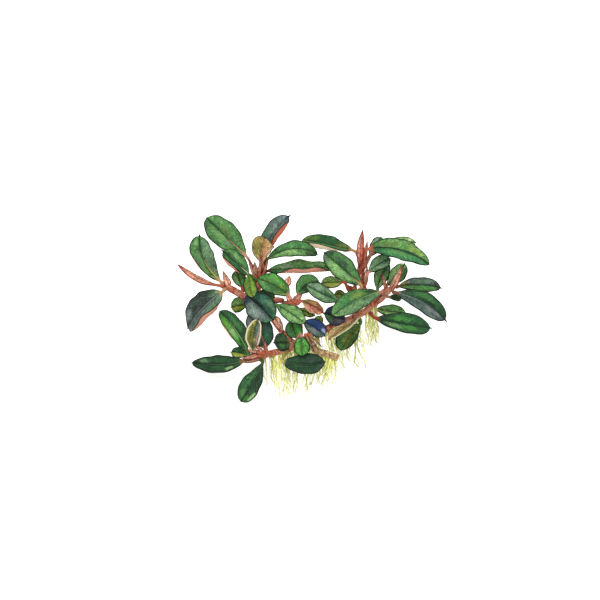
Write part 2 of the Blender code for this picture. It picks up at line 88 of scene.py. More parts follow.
# Stems and roots
STEM_SIDES = 32
STEM_STEP = 0.3
SCAR_SPACING = 3.1
SCAR_RISE = 0.05
SCAR_TILT = 0.3
SCAR_DRIFT = 0.22
STEM_DOME = 0.7
ROOT_SIDES = 7
ROOT_STEP = 0.9
ROOT_RADIUS = 0.36
FINE_ROOT_RADIUS = 0.27
ROOT_TAPER = 0.4
ROOT_FORWARD = 0.3  # how far a root bows to the front, against how far it bows aside
ROOT_WOBBLE = 0.38
ROOT_MIDDLE = (0.3, 0.3, 0.55)  # share of a root's run at its middle: across, back, up
HANGING_TOUCH = (0.8, 0.8, 0.85)  # the same at the last bend of a root that ends in the air
LYING_TOUCH = (0.62, 0.62, 1.0)  # the same where a root comes down to the floor
TOUCH_LIFT = 1.6
LYING_HEIGHT = 0.5  # a strong root whose tip is planned below this lies on the floor
FINE_LYING_HEIGHT = 1.0
STRONG_ROOT_SHADE = 0.8
TIP_STRAY = (2.6, 3.5, 1.5)  # how far a thin root's tip strays: across, back, up

# Colours, as red, green and blue of 255
DEPTH = 0.55  # share of a colour that is laid on, for the light that falls here
COLOURS = dict(
    fresh=(114, 164, 94),
    leaf=(82, 136, 74),
    grass=(78, 152, 62),
    moss=(102, 130, 62),
    deep=(46, 96, 54),
    bottle=(34, 70, 42),
    night=(34, 48, 34),
    grey_green=(110, 148, 106),
    pale_green=(158, 204, 132),
    sea=(68, 138, 84),
    teal=(50, 100, 82),
    pine=(34, 80, 54),
    slate=(96, 118, 110),
    dark_slate=(58, 76, 68),
    pale_slate=(158, 174, 168),
    navy=(34, 62, 112),
    ink=(28, 50, 78),
    lavender=(166, 178, 214),
    lilac=(138, 140, 142),
    violet=(76, 72, 102),
    olive=(128, 134, 60),
    dark_olive=(84, 98, 44),
    lime=(112, 154, 50),
    yellow_green=(150, 174, 76),
    straw=(212, 196, 104),
    khaki=(176, 156, 92),
    tan=(212, 168, 116),
    brown=(150, 106, 68),
    umber=(84, 58, 38),
    salmon=(226, 158, 134),
    dusty=(206, 140, 116),
    coral=(210, 112, 84),
    rust=(190, 104, 80),
    blush=(240, 186, 160),
    peach=(230, 164, 128),
    sand=(230, 196, 144),
    brick=(176, 78, 56),
    ochre=(214, 120, 62),
    crimson=(138, 44, 38),
    cream=(246, 226, 190),
    outline=(16, 30, 16),
    root_cream=(252, 252, 206),
    root_yellow=(238, 238, 146),
    root_green=(180, 184, 92),
    root_olive=(112, 114, 48),
)

# What a leaf's colour is multiplied by: in pale blooms, which are painted highlights, and darker
# pools, on veins, fibres, strokes and bands between veins, in the painted shade of the valley
# along the midline, on the veins of the back, near the margin, and in the flecks of the stalk
PAINTED_HIGHLIGHT_TINT = (1.95, 1.75, 1.8)
POOL_TINT = (0.34, 0.44, 0.38)
VEIN_TINT = (0.38, 0.48, 0.4)
FIBRE_TINT = (1.75, 1.6, 1.55)
STROKE_TINT = (0.42, 0.5, 0.46)
BAND_TINT = (0.7, 0.76, 0.7)
VALLEY_SHADE_TINT = (0.35, 0.45, 0.38)
UNDER_TINT = (0.55, 0.5, 0.45)
MARGIN_TINT = (0.45, 0.55, 0.48)
STALK_TINT = (0.55, 0.4, 0.35)


def linear(name, depth=DEPTH):
    """The named colour, as it looks in the light here, as the linear values a shader takes."""
    parts = [value / 255 for value in COLOURS[name]]
    parts = [v / 12.92 if v <= 0.04045 else ((v + 0.055) / 1.055) ** 2.4 for v in parts]
    return (*(v * depth for v in parts), 1.0)


# Shader node groups
COLOUR, NUMBER = "NodeSocketColor", "NodeSocketFloat"
WHITE, BLACK = (1.0, 1.0, 1.0, 1.0), (0.0, 0.0, 0.0, 1.0)


def new_group(name, takes, gives):
    """A node group with these inputs, as (label, value), and outputs, as (label, kind)."""
    tree = bpy.data.node_groups.new(name, "ShaderNodeTree")
    for label, value in takes:
        kind = COLOUR if isinstance(value, tuple) else NUMBER
        socket = tree.interface.new_socket(label, in_out="INPUT", socket_type=kind)
        socket.default_value = value
    for label, kind in gives:
        tree.interface.new_socket(label, in_out="OUTPUT", socket_type=kind)
    taken = tree.nodes.new("NodeGroupInput").outputs
    given = tree.nodes.new("NodeGroupOutput").inputs
    return tree, taken, given


def feed(tree, socket, value):
    if isinstance(value, bpy.types.NodeSocket):
        tree.links.new(value, socket)
    else:
        socket.default_value = value


def calc(tree, operation, *values):
    node = tree.nodes.new("ShaderNodeMath")
    node.operation = operation
    for socket, value in zip(node.inputs, values):
        feed(tree, socket, value)
    return node.outputs[0]


def ramp(tree, value, low, high, start=0.0, end=1.0):
    """start below low, end above high, with a smooth change between them."""
    node = tree.nodes.new("ShaderNodeMapRange")
    node.interpolation_type = "SMOOTHSTEP"
    for socket, given in zip(node.inputs, (value, low, high, start, end)):
        feed(tree, socket, given)
    return node.outputs[0]


def mix(tree, share, one, other, mode="MIX"):
    node = tree.nodes.new("ShaderNodeMix")
    node.data_type = "RGBA"
    node.blend_type = mode
    feed(tree, node.inputs["Factor"], share)
    feed(tree, node.inputs[6], one)
    feed(tree, node.inputs[7], other)
    return node.outputs[2]


def tinted(tree, colour, tint):
    return mix(tree, 1.0, colour, (*tint, 1.0), "MULTIPLY")


def grain(tree, scale, detail=3.0, roughness=0.55, place=None, warp=0.0):
    """Noise from 0 to 1 through the object's own space, or at a given place."""
    node = tree.nodes.new("ShaderNodeTexNoise")
    node.inputs["Scale"].default_value = scale
    node.inputs["Detail"].default_value = detail
    node.inputs["Roughness"].default_value = roughness
    node.inputs["Distortion"].default_value = warp
    if place is None:
        place = tree.nodes.new("ShaderNodeTexCoord").outputs["Object"]
    tree.links.new(place, node.inputs["Vector"])
    return node.outputs["Fac"]


def use(tree, group, **values):
    """The outputs of a group placed in this tree. A label's spaces are written as _."""
    node = tree.nodes.new("ShaderNodeGroup")
    node.node_tree = group
    for label, value in values.items():
        feed(tree, node.inputs[label.replace("_", " ")], value)
    return node.outputs


def layer(tree, name):
    """The two numbers that a mesh keeps at each corner under this name."""
    node = tree.nodes.new("ShaderNodeUVMap")
    node.uv_map = name
    split = tree.nodes.new("ShaderNodeSeparateXYZ")
    tree.links.new(node.outputs["UV"], split.inputs[0])
    return split.outputs["X"], split.outputs["Y"]


def place_group():
    """Where a point lies on its blade: shares, millimetres, and which face it is on."""
    labels = ("Across", "Along", "Across Mm", "Along Mm", "To Margin", "Below")
    tree, _, given = new_group("blade_place", (), [(label, NUMBER) for label in labels])
    found = [*layer(tree, "share"), *layer(tree, "length"), *layer(tree, "rim")]
    for socket, value in zip(given, found):
        tree.links.new(value, socket)
    return tree


def wash_group():
    """The broad colours of a blade: its halves, base and tip, with pale blooms that are painted
    highlights, darker pools, and painted shade at the midrib and margin of each half with painted
    light in its middle.
    """
    takes = [(label, WHITE) for label in ("Left", "Right", "Base", "Tip")]
    takes += [("Across", 0.0), ("Along", 0.5), ("Base Reach", 0.3), ("Tip Start", 0.75)]
    takes += [("Mottle", 0.5)]
    tree, taken, given = new_group("blade_wash", takes, [("Color", COLOUR)])
    across, along = taken["Across"], taken["Along"]
    broad = grain(tree, 230.0, 2.0)
    fine = grain(tree, 1500.0, 3.0, 0.7)
    highlight_and_pool_noise = grain(tree, 420.0, 3.0, 0.6, warp=0.6)
    wander = calc(tree, "MULTIPLY_ADD", broad, 0.4, -0.2)
    colour = mix(tree, ramp(tree, across, -0.1, 0.1), taken["Left"], taken["Right"])
    near = calc(tree, "ADD", along, wander)
    colour = mix(tree, ramp(tree, near, 0.0, taken["Base Reach"]), taken["Base"], colour)
    colour = mix(tree, ramp(tree, near, taken["Tip Start"], 1.0), colour, taken["Tip"])
    # pale blooms where the noise is high: painted highlights
    pale = tinted(tree, colour, PAINTED_HIGHLIGHT_TINT)
    spread = calc(tree, "MULTIPLY", ramp(tree, highlight_and_pool_noise, 0.52, 0.72), taken["Mottle"])
    colour = mix(tree, spread, colour, pale)
    pool = tinted(tree, colour, POOL_TINT)
    spread = calc(tree, "MULTIPLY", ramp(tree, highlight_and_pool_noise, 0.3, 0.48, 1.0, 0.0), taken["Mottle"])
    colour = mix(tree, spread, colour, pool)
    # painted light and shade across each half: darker at the midrib and the margin, lighter in the
    # middle where the half bulges up, then random spots on top
    out = calc(tree, "ABSOLUTE", across)
    bulge_light = calc(tree, "MULTIPLY", out, calc(tree, "SUBTRACT", 1.0, out))
    bulge_light_and_spots = calc(tree, "MULTIPLY_ADD", bulge_light, 1.9, 0.66)
    spots = calc(tree, "MULTIPLY_ADD", fine, 4.4, broad)
    spots = calc(tree, "MULTIPLY_ADD", calc(tree, "SUBTRACT", spots, 2.68), taken["Mottle"], 1.0)
    bulge_light_and_spots = calc(tree, "MULTIPLY", bulge_light_and_spots, spots)
    tone = tree.nodes.new("ShaderNodeCombineColor")
    for socket in tone.inputs:
        tree.links.new(bulge_light_and_spots, socket)
    tree.links.new(mix(tree, 1.0, colour, tone.outputs[0], "MULTIPLY"), given["Color"])
    return tree


def touch_group():
    """One soft stroke of another colour at a place on the blade. Pale strokes are mostly painted
    highlights.
    """
    takes = [("Color", BLACK), ("Stroke", BLACK), ("Strength", 1.0), ("Across", 0.0)]
    takes += [("Along", 0.0), ("At Across", 0.0), ("At Along", 0.5)]
    takes += [("Reach Across", 0.4), ("Reach Along", 0.2)]
    tree, taken, given = new_group("blade_touch", takes, [("Color", COLOUR)])
    sizes = []
    for way in ("Across", "Along"):
        away = calc(tree, "SUBTRACT", taken[way], taken["At " + way])
        sizes.append(calc(tree, "DIVIDE", away, taken["Reach " + way]))
    away = calc(tree, "ADD", *[calc(tree, "MULTIPLY", size, size) for size in sizes])
    ragged = calc(tree, "MULTIPLY_ADD", grain(tree, 700.0, 4.0, 0.7), 1.8, -0.9)
    away = calc(tree, "ADD", calc(tree, "SQRT", away), ragged)
    mask = calc(tree, "MULTIPLY", ramp(tree, away, 0.35, 0.95, 1.0, 0.0), taken["Strength"])
    tree.links.new(mix(tree, mask, taken["Color"], taken["Stroke"]), given["Color"])
    return tree


def vein_group():
    """Side veins that leave the midrib and bend towards the tip, with fibres and bands between."""
    takes = [("Across Mm", 0.0), ("Along Mm", 0.0)]
    gives = [(label, NUMBER) for label in ("Line", "Fibre", "Band")]
    tree, taken, given = new_group("blade_veins", takes, gives)
    out = calc(tree, "ABSOLUTE", taken["Across Mm"])
    bent = calc(tree, "MULTIPLY", out, calc(tree, "MULTIPLY_ADD", out, VEIN_BEND, VEIN_SLANT))
    wander = calc(tree, "MULTIPLY_ADD", grain(tree, 330.0, 3.0), 4.0, -2.0)
    run = calc(tree, "ADD", calc(tree, "SUBTRACT", taken["Along Mm"], bent), wander)
    cell = calc(tree, "DIVIDE", run, VEIN_SPACING)
    middle = calc(tree, "SUBTRACT", calc(tree, "FRACT", cell), 0.5)
    apart = calc(tree, "MULTIPLY", calc(tree, "ABSOLUTE", middle), 2.0)
    tree.links.new(ramp(tree, apart, 0.7, 1.0), given["Line"])
    place = tree.nodes.new("ShaderNodeCombineXYZ")
    tree.links.new(calc(tree, "MULTIPLY", run, 1.5), place.inputs["X"])
    tree.links.new(calc(tree, "MULTIPLY", taken["Across Mm"], 0.35), place.inputs["Y"])
    tree.links.new(grain(tree, 1.0, 3.0, 0.6, place.outputs[0]), given["Fibre"])
    tone = tree.nodes.new("ShaderNodeTexWhiteNoise")
    tone.noise_dimensions = "2D"
    side = calc(tree, "SIGN", taken["Across Mm"])
    ends = tree.nodes.new("ShaderNodeCombineXYZ")
    tree.links.new(calc(tree, "FLOOR", cell), ends.inputs["X"])
    tree.links.new(side, ends.inputs["Y"])
    tree.links.new(ends.outputs[0], tone.inputs["Vector"])
    tree.links.new(tone.outputs["Value"], given["Band"])
    return tree


def line_group():
    """Everything drawn over the washes: veins, midrib with painted shade in its valley, underside,
    margin, stalk and point.
    """
    labels = ("Color", "Rib", "Midline", "Under", "Margin", "Stalk", "Point")
    takes = [(label, BLACK) for label in labels]
    takes += [("Across", 0.0), ("Along", 0.0), ("Across Mm", 0.0), ("Along Mm", 0.0)]
    takes += [("To Margin", 1.0), ("Below", 0.0), ("Rib Reach", 0.4), ("Rib Width", 0.5)]
    takes += [("Midline Strength", 0.6), ("Veins", 0.4), ("Under Share", 1.0)]
    takes += [("Margin Width", 0.35), ("Point Start", 0.95)]
    gives = [("Color", COLOUR), ("Roughness", NUMBER), ("Height", NUMBER)]
    tree, taken, given = new_group("blade_lines", takes, gives)
    along = taken["Along"]
    veins = use(tree, VEINS, Across_Mm=taken["Across Mm"], Along_Mm=taken["Along Mm"])
    out = calc(tree, "ABSOLUTE", taken["Across Mm"])

    line = calc(tree, "MULTIPLY", veins["Line"], taken["Veins"])
    colour = taken["Color"]
    shade = tinted(tree, colour, VEIN_TINT)
    colour = mix(tree, line, colour, shade)
    glow = tinted(tree, colour, FIBRE_TINT)
    fibre = calc(tree, "MULTIPLY", ramp(tree, veins["Fibre"], 0.5, 0.64), 0.8)
    colour = mix(tree, fibre, colour, glow)
    stroke = calc(tree, "MULTIPLY", ramp(tree, veins["Fibre"], 0.36, 0.47, 1.0, 0.0), 0.7)
    colour = mix(tree, stroke, colour, tinted(tree, colour, STROKE_TINT))
    band = calc(tree, "MULTIPLY", ramp(tree, veins["Band"], 0.55, 0.6), 0.18)
    colour = mix(tree, band, colour, tinted(tree, colour, BAND_TINT))

    strength = taken["Midline Strength"]
    # painted shade in the valley along the midline
    valley_shade = calc(tree, "MULTIPLY", ramp(tree, out, 0.2, 1.1, 0.3, 0.0), strength)
    colour = mix(tree, valley_shade, colour, tinted(tree, colour, VALLEY_SHADE_TINT))
    fine = calc(tree, "MULTIPLY", ramp(tree, out, 0.14, 0.34, 1.0, 0.0), strength)
    colour = mix(tree, fine, colour, taken["Midline"])
    left = calc(tree, "DIVIDE", along, calc(tree, "ADD", taken["Rib Reach"], 0.001))
    width = calc(tree, "MULTIPLY", taken["Rib Width"], ramp(tree, left, 0.0, 1.0, 1.0, 0.25))
    shown = ramp(tree, left, 0.75, 1.0, 1.0, 0.0)
    edge = ramp(tree, calc(tree, "SUBTRACT", out, width), 0.12, 0.3, 0.75, 0.0)
    colour = mix(tree, calc(tree, "MULTIPLY", edge, shown), colour, taken["Midline"])
    rib = ramp(tree, calc(tree, "SUBTRACT", out, width), -0.1, 0.06, 1.0, 0.0)
    colour = mix(tree, calc(tree, "MULTIPLY", rib, shown), colour, taken["Rib"])

    faint = calc(tree, "MULTIPLY", veins["Line"], 0.35)
    faded = tinted(tree, taken["Under"], UNDER_TINT)
    under = mix(tree, faint, taken["Under"], faded)
    under = mix(tree, ramp(tree, out, 0.25, 0.6, 0.7, 0.0), under, taken["Rib"])
    hidden = calc(tree, "MULTIPLY", taken["Below"], taken["Under Share"])
    colour = mix(tree, hidden, colour, under)

    pooled = tinted(tree, colour, MARGIN_TINT)
    shore = ramp(tree, taken["To Margin"], 0.3, 1.3, 0.55, 0.0)
    colour = mix(tree, shore, colour, mix(tree, taken["Below"], pooled, colour))
    uneven = calc(tree, "MULTIPLY_ADD", grain(tree, 600.0, 2.0), 0.7, 0.75)
    rim_width = calc(tree, "MULTIPLY", taken["Margin Width"], uneven)
    half = calc(tree, "MULTIPLY", rim_width, 0.75)
    rim = ramp(tree, taken["To Margin"], half, rim_width, 1.0, 0.0)
    colour = mix(tree, rim, colour, taken["Margin"])
    stalk = ramp(tree, along, 0.0, 0.09, 1.0, 0.0)
    flecks = ramp(tree, grain(tree, 1400.0, 3.0), 0.5, 0.7, 0.0, 0.5)
    dusk = tinted(tree, taken["Stalk"], STALK_TINT)
    colour = mix(tree, stalk, colour, mix(tree, flecks, taken["Stalk"], dusk))
    start = calc(tree, "SUBTRACT", taken["Point Start"], 0.03)
    point = ramp(tree, along, start, taken["Point Start"])
    colour = mix(tree, point, colour, taken["Point"])

    tree.links.new(colour, given["Color"])
    rough = calc(tree, "MULTIPLY_ADD", grain(tree, 700.0, 3.0), 0.2, 0.5)
    rough = calc(tree, "ADD", rough, calc(tree, "MULTIPLY", taken["Below"], 0.16))
    tree.links.new(rough, given["Roughness"])
    bumps = calc(tree, "MULTIPLY", grain(tree, 2600.0, 2.0), 0.25)
    bumps = calc(tree, "SUBTRACT", bumps, calc(tree, "MULTIPLY", veins["Line"], 0.8))
    bumps = calc(tree, "MULTIPLY_ADD", veins["Fibre"], 0.5, bumps)
    tree.links.new(bumps, given["Height"])
    return tree


def bark_group():
    """A stem's sheaths: light towards each rim, a dark line under it, and fine streaks."""
    takes = [("Light", WHITE), ("Dark", BLACK), ("Line", BLACK), ("Line Strength", 0.8)]
    gives = [("Color", COLOUR), ("Roughness", NUMBER), ("Height", NUMBER)]
    tree, taken, given = new_group("stem_bark", takes, gives)
    phase, turn = layer(tree, "share")
    run = layer(tree, "length")[0]
    part = calc(tree, "FRACT", phase)
    streak_place = tree.nodes.new("ShaderNodeCombineXYZ")
    tree.links.new(calc(tree, "MULTIPLY", turn, 9.0), streak_place.inputs["X"])
    tree.links.new(calc(tree, "MULTIPLY", run, 0.35), streak_place.inputs["Y"])
    streak = grain(tree, 1.0, 3.0, 0.6, streak_place.outputs[0])
    spots = grain(tree, 800.0, 4.0, 0.6)
    tone = calc(tree, "MULTIPLY", part, 0.3)
    tone = calc(tree, "ADD", tone, calc(tree, "MULTIPLY", streak, 1.3))
    tone = calc(tree, "MULTIPLY_ADD", spots, 0.6, calc(tree, "SUBTRACT", tone, 0.5))
    colour = mix(tree, ramp(tree, tone, 0.35, 0.85), taken["Dark"], taken["Light"])
    strength = taken["Line Strength"]
    scar = calc(tree, "MULTIPLY", ramp(tree, part, 0.0, 0.16, 1.0, 0.0), strength)
    colour = mix(tree, scar, colour, taken["Line"])
    groove = calc(tree, "MULTIPLY", ramp(tree, streak, 0.36, 0.42, 1.0, 0.0), strength)
    colour = mix(tree, groove, colour, taken["Line"])
    tree.links.new(colour, given["Color"])
    tree.links.new(calc(tree, "MULTIPLY_ADD", spots, 0.25, 0.35), given["Roughness"])
    height = calc(tree, "MULTIPLY_ADD", streak, 0.8, calc(tree, "MULTIPLY", spots, 0.4))
    tree.links.new(height, given["Height"])
    return tree


PLACE = place_group()
WASH = wash_group()
TOUCH = touch_group()
VEINS = vein_group()
LINES = line_group()
BARK = bark_group()


def drawn_edge(tree, colour, line, start, strength):
    """A dark line where a surface turns away from whoever looks at it."""
    facing = tree.nodes.new("ShaderNodeLayerWeight")
    facing.inputs["Blend"].default_value = 0.5
    share = ramp(tree, facing.outputs["Facing"], start, 1.0, 0.0, strength)
    return mix(tree, share, colour, line)


def finish_material(tree, colour, roughness, height, bump=0.00012):
    """Feeds what the groups put out to the material's own shader."""
    shader = tree.nodes["Principled BSDF"]
    tree.links.new(colour, shader.inputs["Base Color"])
    tree.links.new(roughness, shader.inputs["Roughness"])
    shader.inputs["Specular IOR Level"].default_value = 0.16
    bumps = tree.nodes.new("ShaderNodeBump")
    bumps.inputs["Distance"].default_value = bump
    tree.links.new(height, bumps.inputs["Height"])
    tree.links.new(bumps.outputs["Normal"], shader.inputs["Normal"])


def new_material(name):
    made = bpy.data.materials.new(name)
    made.use_nodes = True
    return made


def leaf_material(name, length, point_length, left, right=None, base=None, end=None, rib="tan",
                  rib_reach=0.0, rib_width=0.5, midline="outline", midline_strength=0.65,
                  veins=0.3, under="fresh", under_share=1.0, margin="outline", margin_width=0.5,
                  stalk="dusty", point="outline", mottle=0.8, base_reach=0.3, tip_start=0.75,
                  touches=()):
    """The paint of one leaf. right, base and end are left's colour where they aren't named.

    A touch is (across, along, reach across, reach along, colour, strength). Pale touches are
    mostly painted highlights.
    """
    made = new_material(name)
    tree = made.node_tree
    place = use(tree, PLACE)
    where = dict(Across=place["Across"], Along=place["Along"])
    right = right or left
    colour = use(
        tree, WASH, Left=linear(left), Right=linear(right), Base=linear(base or left),
        Tip=linear(end or right), Base_Reach=base_reach, Tip_Start=tip_start, Mottle=mottle,
        **where,
    )["Color"]
    for at_across, at_along, reach_across, reach_along, stroke, strength in touches:
        colour = use(
            tree, TOUCH, Color=colour, Stroke=linear(stroke), Strength=strength,
            At_Across=at_across, At_Along=at_along, Reach_Across=reach_across,
            Reach_Along=reach_along, **where,
        )["Color"]
    drawn = use(
        tree, LINES, Color=colour, Rib=linear(rib), Midline=linear(midline),
        Under=linear(under), Margin=linear(margin), Stalk=linear(stalk), Point=linear(point),
        Across_Mm=place["Across Mm"], Along_Mm=place["Along Mm"], To_Margin=place["To Margin"],
        Below=place["Below"], Rib_Reach=rib_reach, Rib_Width=rib_width,
        Midline_Strength=midline_strength, Veins=veins, Under_Share=under_share,
        Margin_Width=margin_width, Point_Start=1 - point_length * 0.7 / length, **where,
    )
    colour = drawn_edge(tree, drawn["Color"], linear("outline"), 0.78, 0.8)
    finish_material(tree, colour, drawn["Roughness"], drawn["Height"])
    return made


def stem_material(name, light, dark, line, line_strength=0.8):
    made = new_material(name)
    tree = made.node_tree
    drawn = use(tree, BARK, Light=linear(light), Dark=linear(dark), Line=linear(line),
                Line_Strength=line_strength)
    colour = drawn_edge(tree, drawn["Color"], linear(line), 0.55, 0.85)
    finish_material(tree, colour, drawn["Roughness"], drawn["Height"], 0.0002)
    return made


def root_material():
    """Pale yellow roots with olive lines, darker where they are older, cream at their tips."""
    made = new_material("root_paint")
    tree = made.node_tree
    reach = layer(tree, "share")[1]
    shade = layer(tree, "rim")[0]
    spots = grain(tree, 420.0, 3.0)
    fine = grain(tree, 1900.0, 3.0)
    place = calc(tree, "ADD", reach, calc(tree, "MULTIPLY_ADD", spots, 0.8, -0.4))
    yellow, green = linear("root_yellow", 1.0), linear("root_green", 1.0)
    olive, cream = linear("root_olive", 1.0), linear("root_cream", 1.0)
    pale = mix(tree, ramp(tree, place, -0.1, 0.25), green, yellow)
    pale = mix(tree, ramp(tree, place, 0.35, 0.85), pale, cream)
    dark = mix(tree, ramp(tree, place, 0.0, 0.7), olive, green)
    colour = mix(tree, shade, pale, dark)
    colour = mix(tree, ramp(tree, spots, 0.55, 0.75, 0.0, 0.6), colour, green)
    colour = drawn_edge(tree, colour, olive, 0.5, 0.8)
    rough = calc(tree, "MULTIPLY_ADD", fine, 0.2, 0.5)
    finish_material(tree, colour, rough, fine)
    return made


# Geometry
def unit(vector):
    return vector / np.linalg.norm(vector)


def carried(vector, old, new):
    """The vector turned as the direction old turns to new, with no spin about it."""
    axis, cosine = np.cross(old, new), old.dot(new)
    return vector * cosine + np.cross(axis, vector) + axis * axis.dot(vector) / (1 + cosine)


def spot(across, up, back):
    """The point in millimetres of the upright frame, floor at height 0."""
    tilt = math.radians(VIEW_TILT)
    height = (up - back * math.sin(tilt)) / math.cos(tilt)
    return np.array([across - CENTRE_ACROSS, back - CENTRE_BACK, height])


def shift(across, up, back):
    """The same for a move from one point to another."""
    return spot(across, up, back) - spot(0.0, 0.0, 0.0)


def dice_for(name):
    return np.random.default_rng(zlib.crc32(name.encode()))


def skin(name, rings, marks, start, end, paint, below_from=None):
    """A closed mesh through rings of points.

    marks holds, for each ring, five numbers at each point: two shares, two lengths and the
    distance from the margin. start and end are the points that close it, or None for a flat end.
    """
    count, sides = len(rings), len(rings[0])
    points = np.concatenate(rings)
    values = np.concatenate(marks)
    faces = []
    for i in range(count - 1):
        for j in range(sides):
            k = (j + 1) % sides
            faces.append((i * sides + j, i * sides + k, (i + 1) * sides + k, (i + 1) * sides + j))
    sheet = [j for _ in range(count - 1) for j in range(sides)]
    for ring, point, flip in ((0, start, True), (count - 1, end, False)):
        corners = [ring * sides + j for j in range(sides)]
        if point is None:
            faces.append(tuple(corners[::-1] if flip else corners))
            sheet.append(0)
            continue
        points = np.concatenate([points, [point]])
        values = np.concatenate([values, [values[corners].mean(axis=0)]])
        apex = len(points) - 1
        for j in range(sides):
            k = (j + 1) % sides
            pair = (corners[k], corners[j]) if flip else (corners[j], corners[k])
            faces.append((*pair, apex))
            sheet.append(j)
    if below_from is not None:
        faces = [face[::-1] for face in faces]
    points[:, 2] = np.maximum(points[:, 2], 0.0)
    data = bpy.data.meshes.new(name)
    data.from_pydata((points * MM).tolist(), [], faces)
    below = [1.0 if below_from is not None and j >= below_from else 0.0 for j in sheet]
    corner_below = np.repeat(below, [len(face) for face in faces])
    corners = np.array([corner for face in faces for corner in face])
    columns = dict(
        share=values[corners][:, 0:2],
        length=values[corners][:, 2:4],
        rim=np.stack([values[corners][:, 4], corner_below], axis=1),
    )
    for label, pairs in columns.items():
        data.uv_layers.new(name=label).data.foreach_set("uv", pairs.astype(np.float32).ravel())
    data.shade_smooth()
    data.materials.append(paint)
    body = bpy.data.objects.new(name, data)
    bpy.context.scene.collection.objects.link(body)
    return body


def keep(piece, node):
    """The piece rides on the plant's one body and stands for this node of it."""
    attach(piece, "root")
    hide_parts(node)


def smooth_line(rows, step):
    """Points, with any further columns, on a smooth curve through the rows."""
    rows = np.array(rows, float)
    padded = np.concatenate([[2 * rows[0] - rows[1]], rows, [2 * rows[-1] - rows[-2]]])
    found = [rows[0]]
    for a, b, c, d in zip(padded, padded[1:], padded[2:], padded[3:]):
        steps = max(1, round(np.linalg.norm((c - b)[:3]) / step))
        for i in range(1, steps + 1):
            t = i / steps
            found.append(0.5 * (2 * b + (c - a) * t + (2 * a - 5 * b + 4 * c - d) * t * t
                                + (3 * b - a - 3 * c + d) * t**3))
    return np.array(found)


def directions(points):
    ways = np.gradient(points, axis=0)
    return ways / np.linalg.norm(ways, axis=1)[:, None]


def reaches(points):
    steps = np.linalg.norm(np.diff(points, axis=0), axis=1)
    return np.concatenate([[0.0], np.cumsum(steps)])


def marked(count, *numbers):
    """A ring's numbers at each of its points, given point by point or the same for all."""
    return np.stack([np.zeros(count) + number for number in numbers], axis=1)


def round_ring(point, normal, side, angles, size):
    across, up = np.cos(angles), np.sin(angles)
    return point + np.outer(size * across, normal) + np.outer(size * up, side)


# Stems
STEMS = {}


def along(points, share):
    """Point and direction at this share of a line, and which of its steps that is and how far."""
    reach = reaches(points)
    place = share * reach[-1]
    i = min(int(np.searchsorted(reach, place, side="right")) - 1, len(points) - 2)
    step = points[i + 1] - points[i]
    rest = (place - reach[i]) / np.linalg.norm(step)
    return points[i] + step * rest, unit(step), i, rest


def stem(name, table, paint, before=None, after=None, flat_end=False):
    """A stem of overlapping sheaths, each a little wider at its rim than the next one's foot."""
    rows = [(*spot(*row[:3]), row[3]) for row in table]
    STEMS[name] = (np.array([row[:3] for row in rows]), [row[3] for row in rows])
    if before:
        rows.insert(0, (*spot(*before), table[0][3]))
    if after:
        rows.append((*spot(*after), table[-1][3]))
    line = smooth_line(rows, STEM_STEP)
    points, radii = line[:, :3], line[:, 3]
    ways, reach = directions(points), reaches(points)
    dice = dice_for(name)
    start_turn, lean_turns = dice.uniform(0, ANY_TURN, 2)
    lumps = dice.uniform(0, ANY_TURN, 3)
    angles = np.arange(STEM_SIDES) * 2 * math.pi / STEM_SIDES
    normal = unit(np.cross(ways[0], (0.0, 0.37, 0.93)))
    rings, marks = [], []
    for i, (point, way, radius, run) in enumerate(zip(points, ways, radii, reach)):
        if i:
            normal = carried(normal, ways[i - 1], way)
        side = np.cross(way, normal)
        phase = run / SCAR_SPACING + SCAR_TILT * np.cos(angles - start_turn - run * 0.9)
        phase = phase + SCAR_DRIFT * math.sin(run * 0.83 + lean_turns)
        flare = SCAR_RISE * ((phase % 1.0) ** 2.5 - 0.35)
        oval = 0.045 * np.sin(2 * angles + lumps[0] + run * 0.5)
        knobs = 0.025 * np.sin(5 * angles + lumps[1] + 0.4 * run)
        swell = 0.03 * math.sin(run + lumps[2])
        size = radius * (1 + flare + oval + knobs + swell)
        rings.append(round_ring(point, normal, side, angles, size))
        turn = angles / FULL_TURN
        marks.append(marked(STEM_SIDES, phase, turn, run, angles, FAR_FROM_MARGIN))
    start = points[0] - ways[0] * radii[0] * STEM_DOME
    end = None if flat_end else points[-1] + ways[-1] * radii[-1] * STEM_DOME
    keep(skin(name + "_fine", rings, marks, start, end, paint), name)


# Leaves
ACROSS = (1 - np.cos(np.linspace(0, math.pi, HALF_STEPS + 1))) / 2


def widths(share, base_taper, tip_taper):
    """Half width of a leaf at this share of its length, 1 at the widest place."""
    widest = base_taper / (base_taper + tip_taper)
    rise = (share / widest) ** base_taper
    return rise * ((1 - share) / (1 - widest)) ** tip_taper


def cross_section(fold, curl, flap):
    """Out, rise and lean of the points from midrib to margin, for a half width of 1.

    A half with a flap has its margin folded over by that share of its width.
    """
    share = np.linspace(0, 1, SECTION_STEPS + 1)
    folded = min(1, flap / FOLD_ROUND)
    start = CURL_START + (1 / (1 + flap) - FOLD_ROUND - CURL_START) * folded
    rolled = np.clip((share - start) / (1 - start), 0, 1)
    ease = CURL_EASE + (FLAP_EASE - CURL_EASE) * folded
    lean = fold * np.minimum(1, share / CREASE) + curl * rolled**ease
    out = np.concatenate([[0], np.cumsum(np.cos(lean[1:]))]) / SECTION_STEPS
    rise = np.concatenate([[0], np.cumsum(np.sin(lean[1:]))]) / SECTION_STEPS
    return [np.interp(ACROSS, share, row) for row in (out, rise, lean)]


def softer_max(one, other, blend):
    return 0.5 * (one + other + math.sqrt((one - other) ** 2 + blend**2))


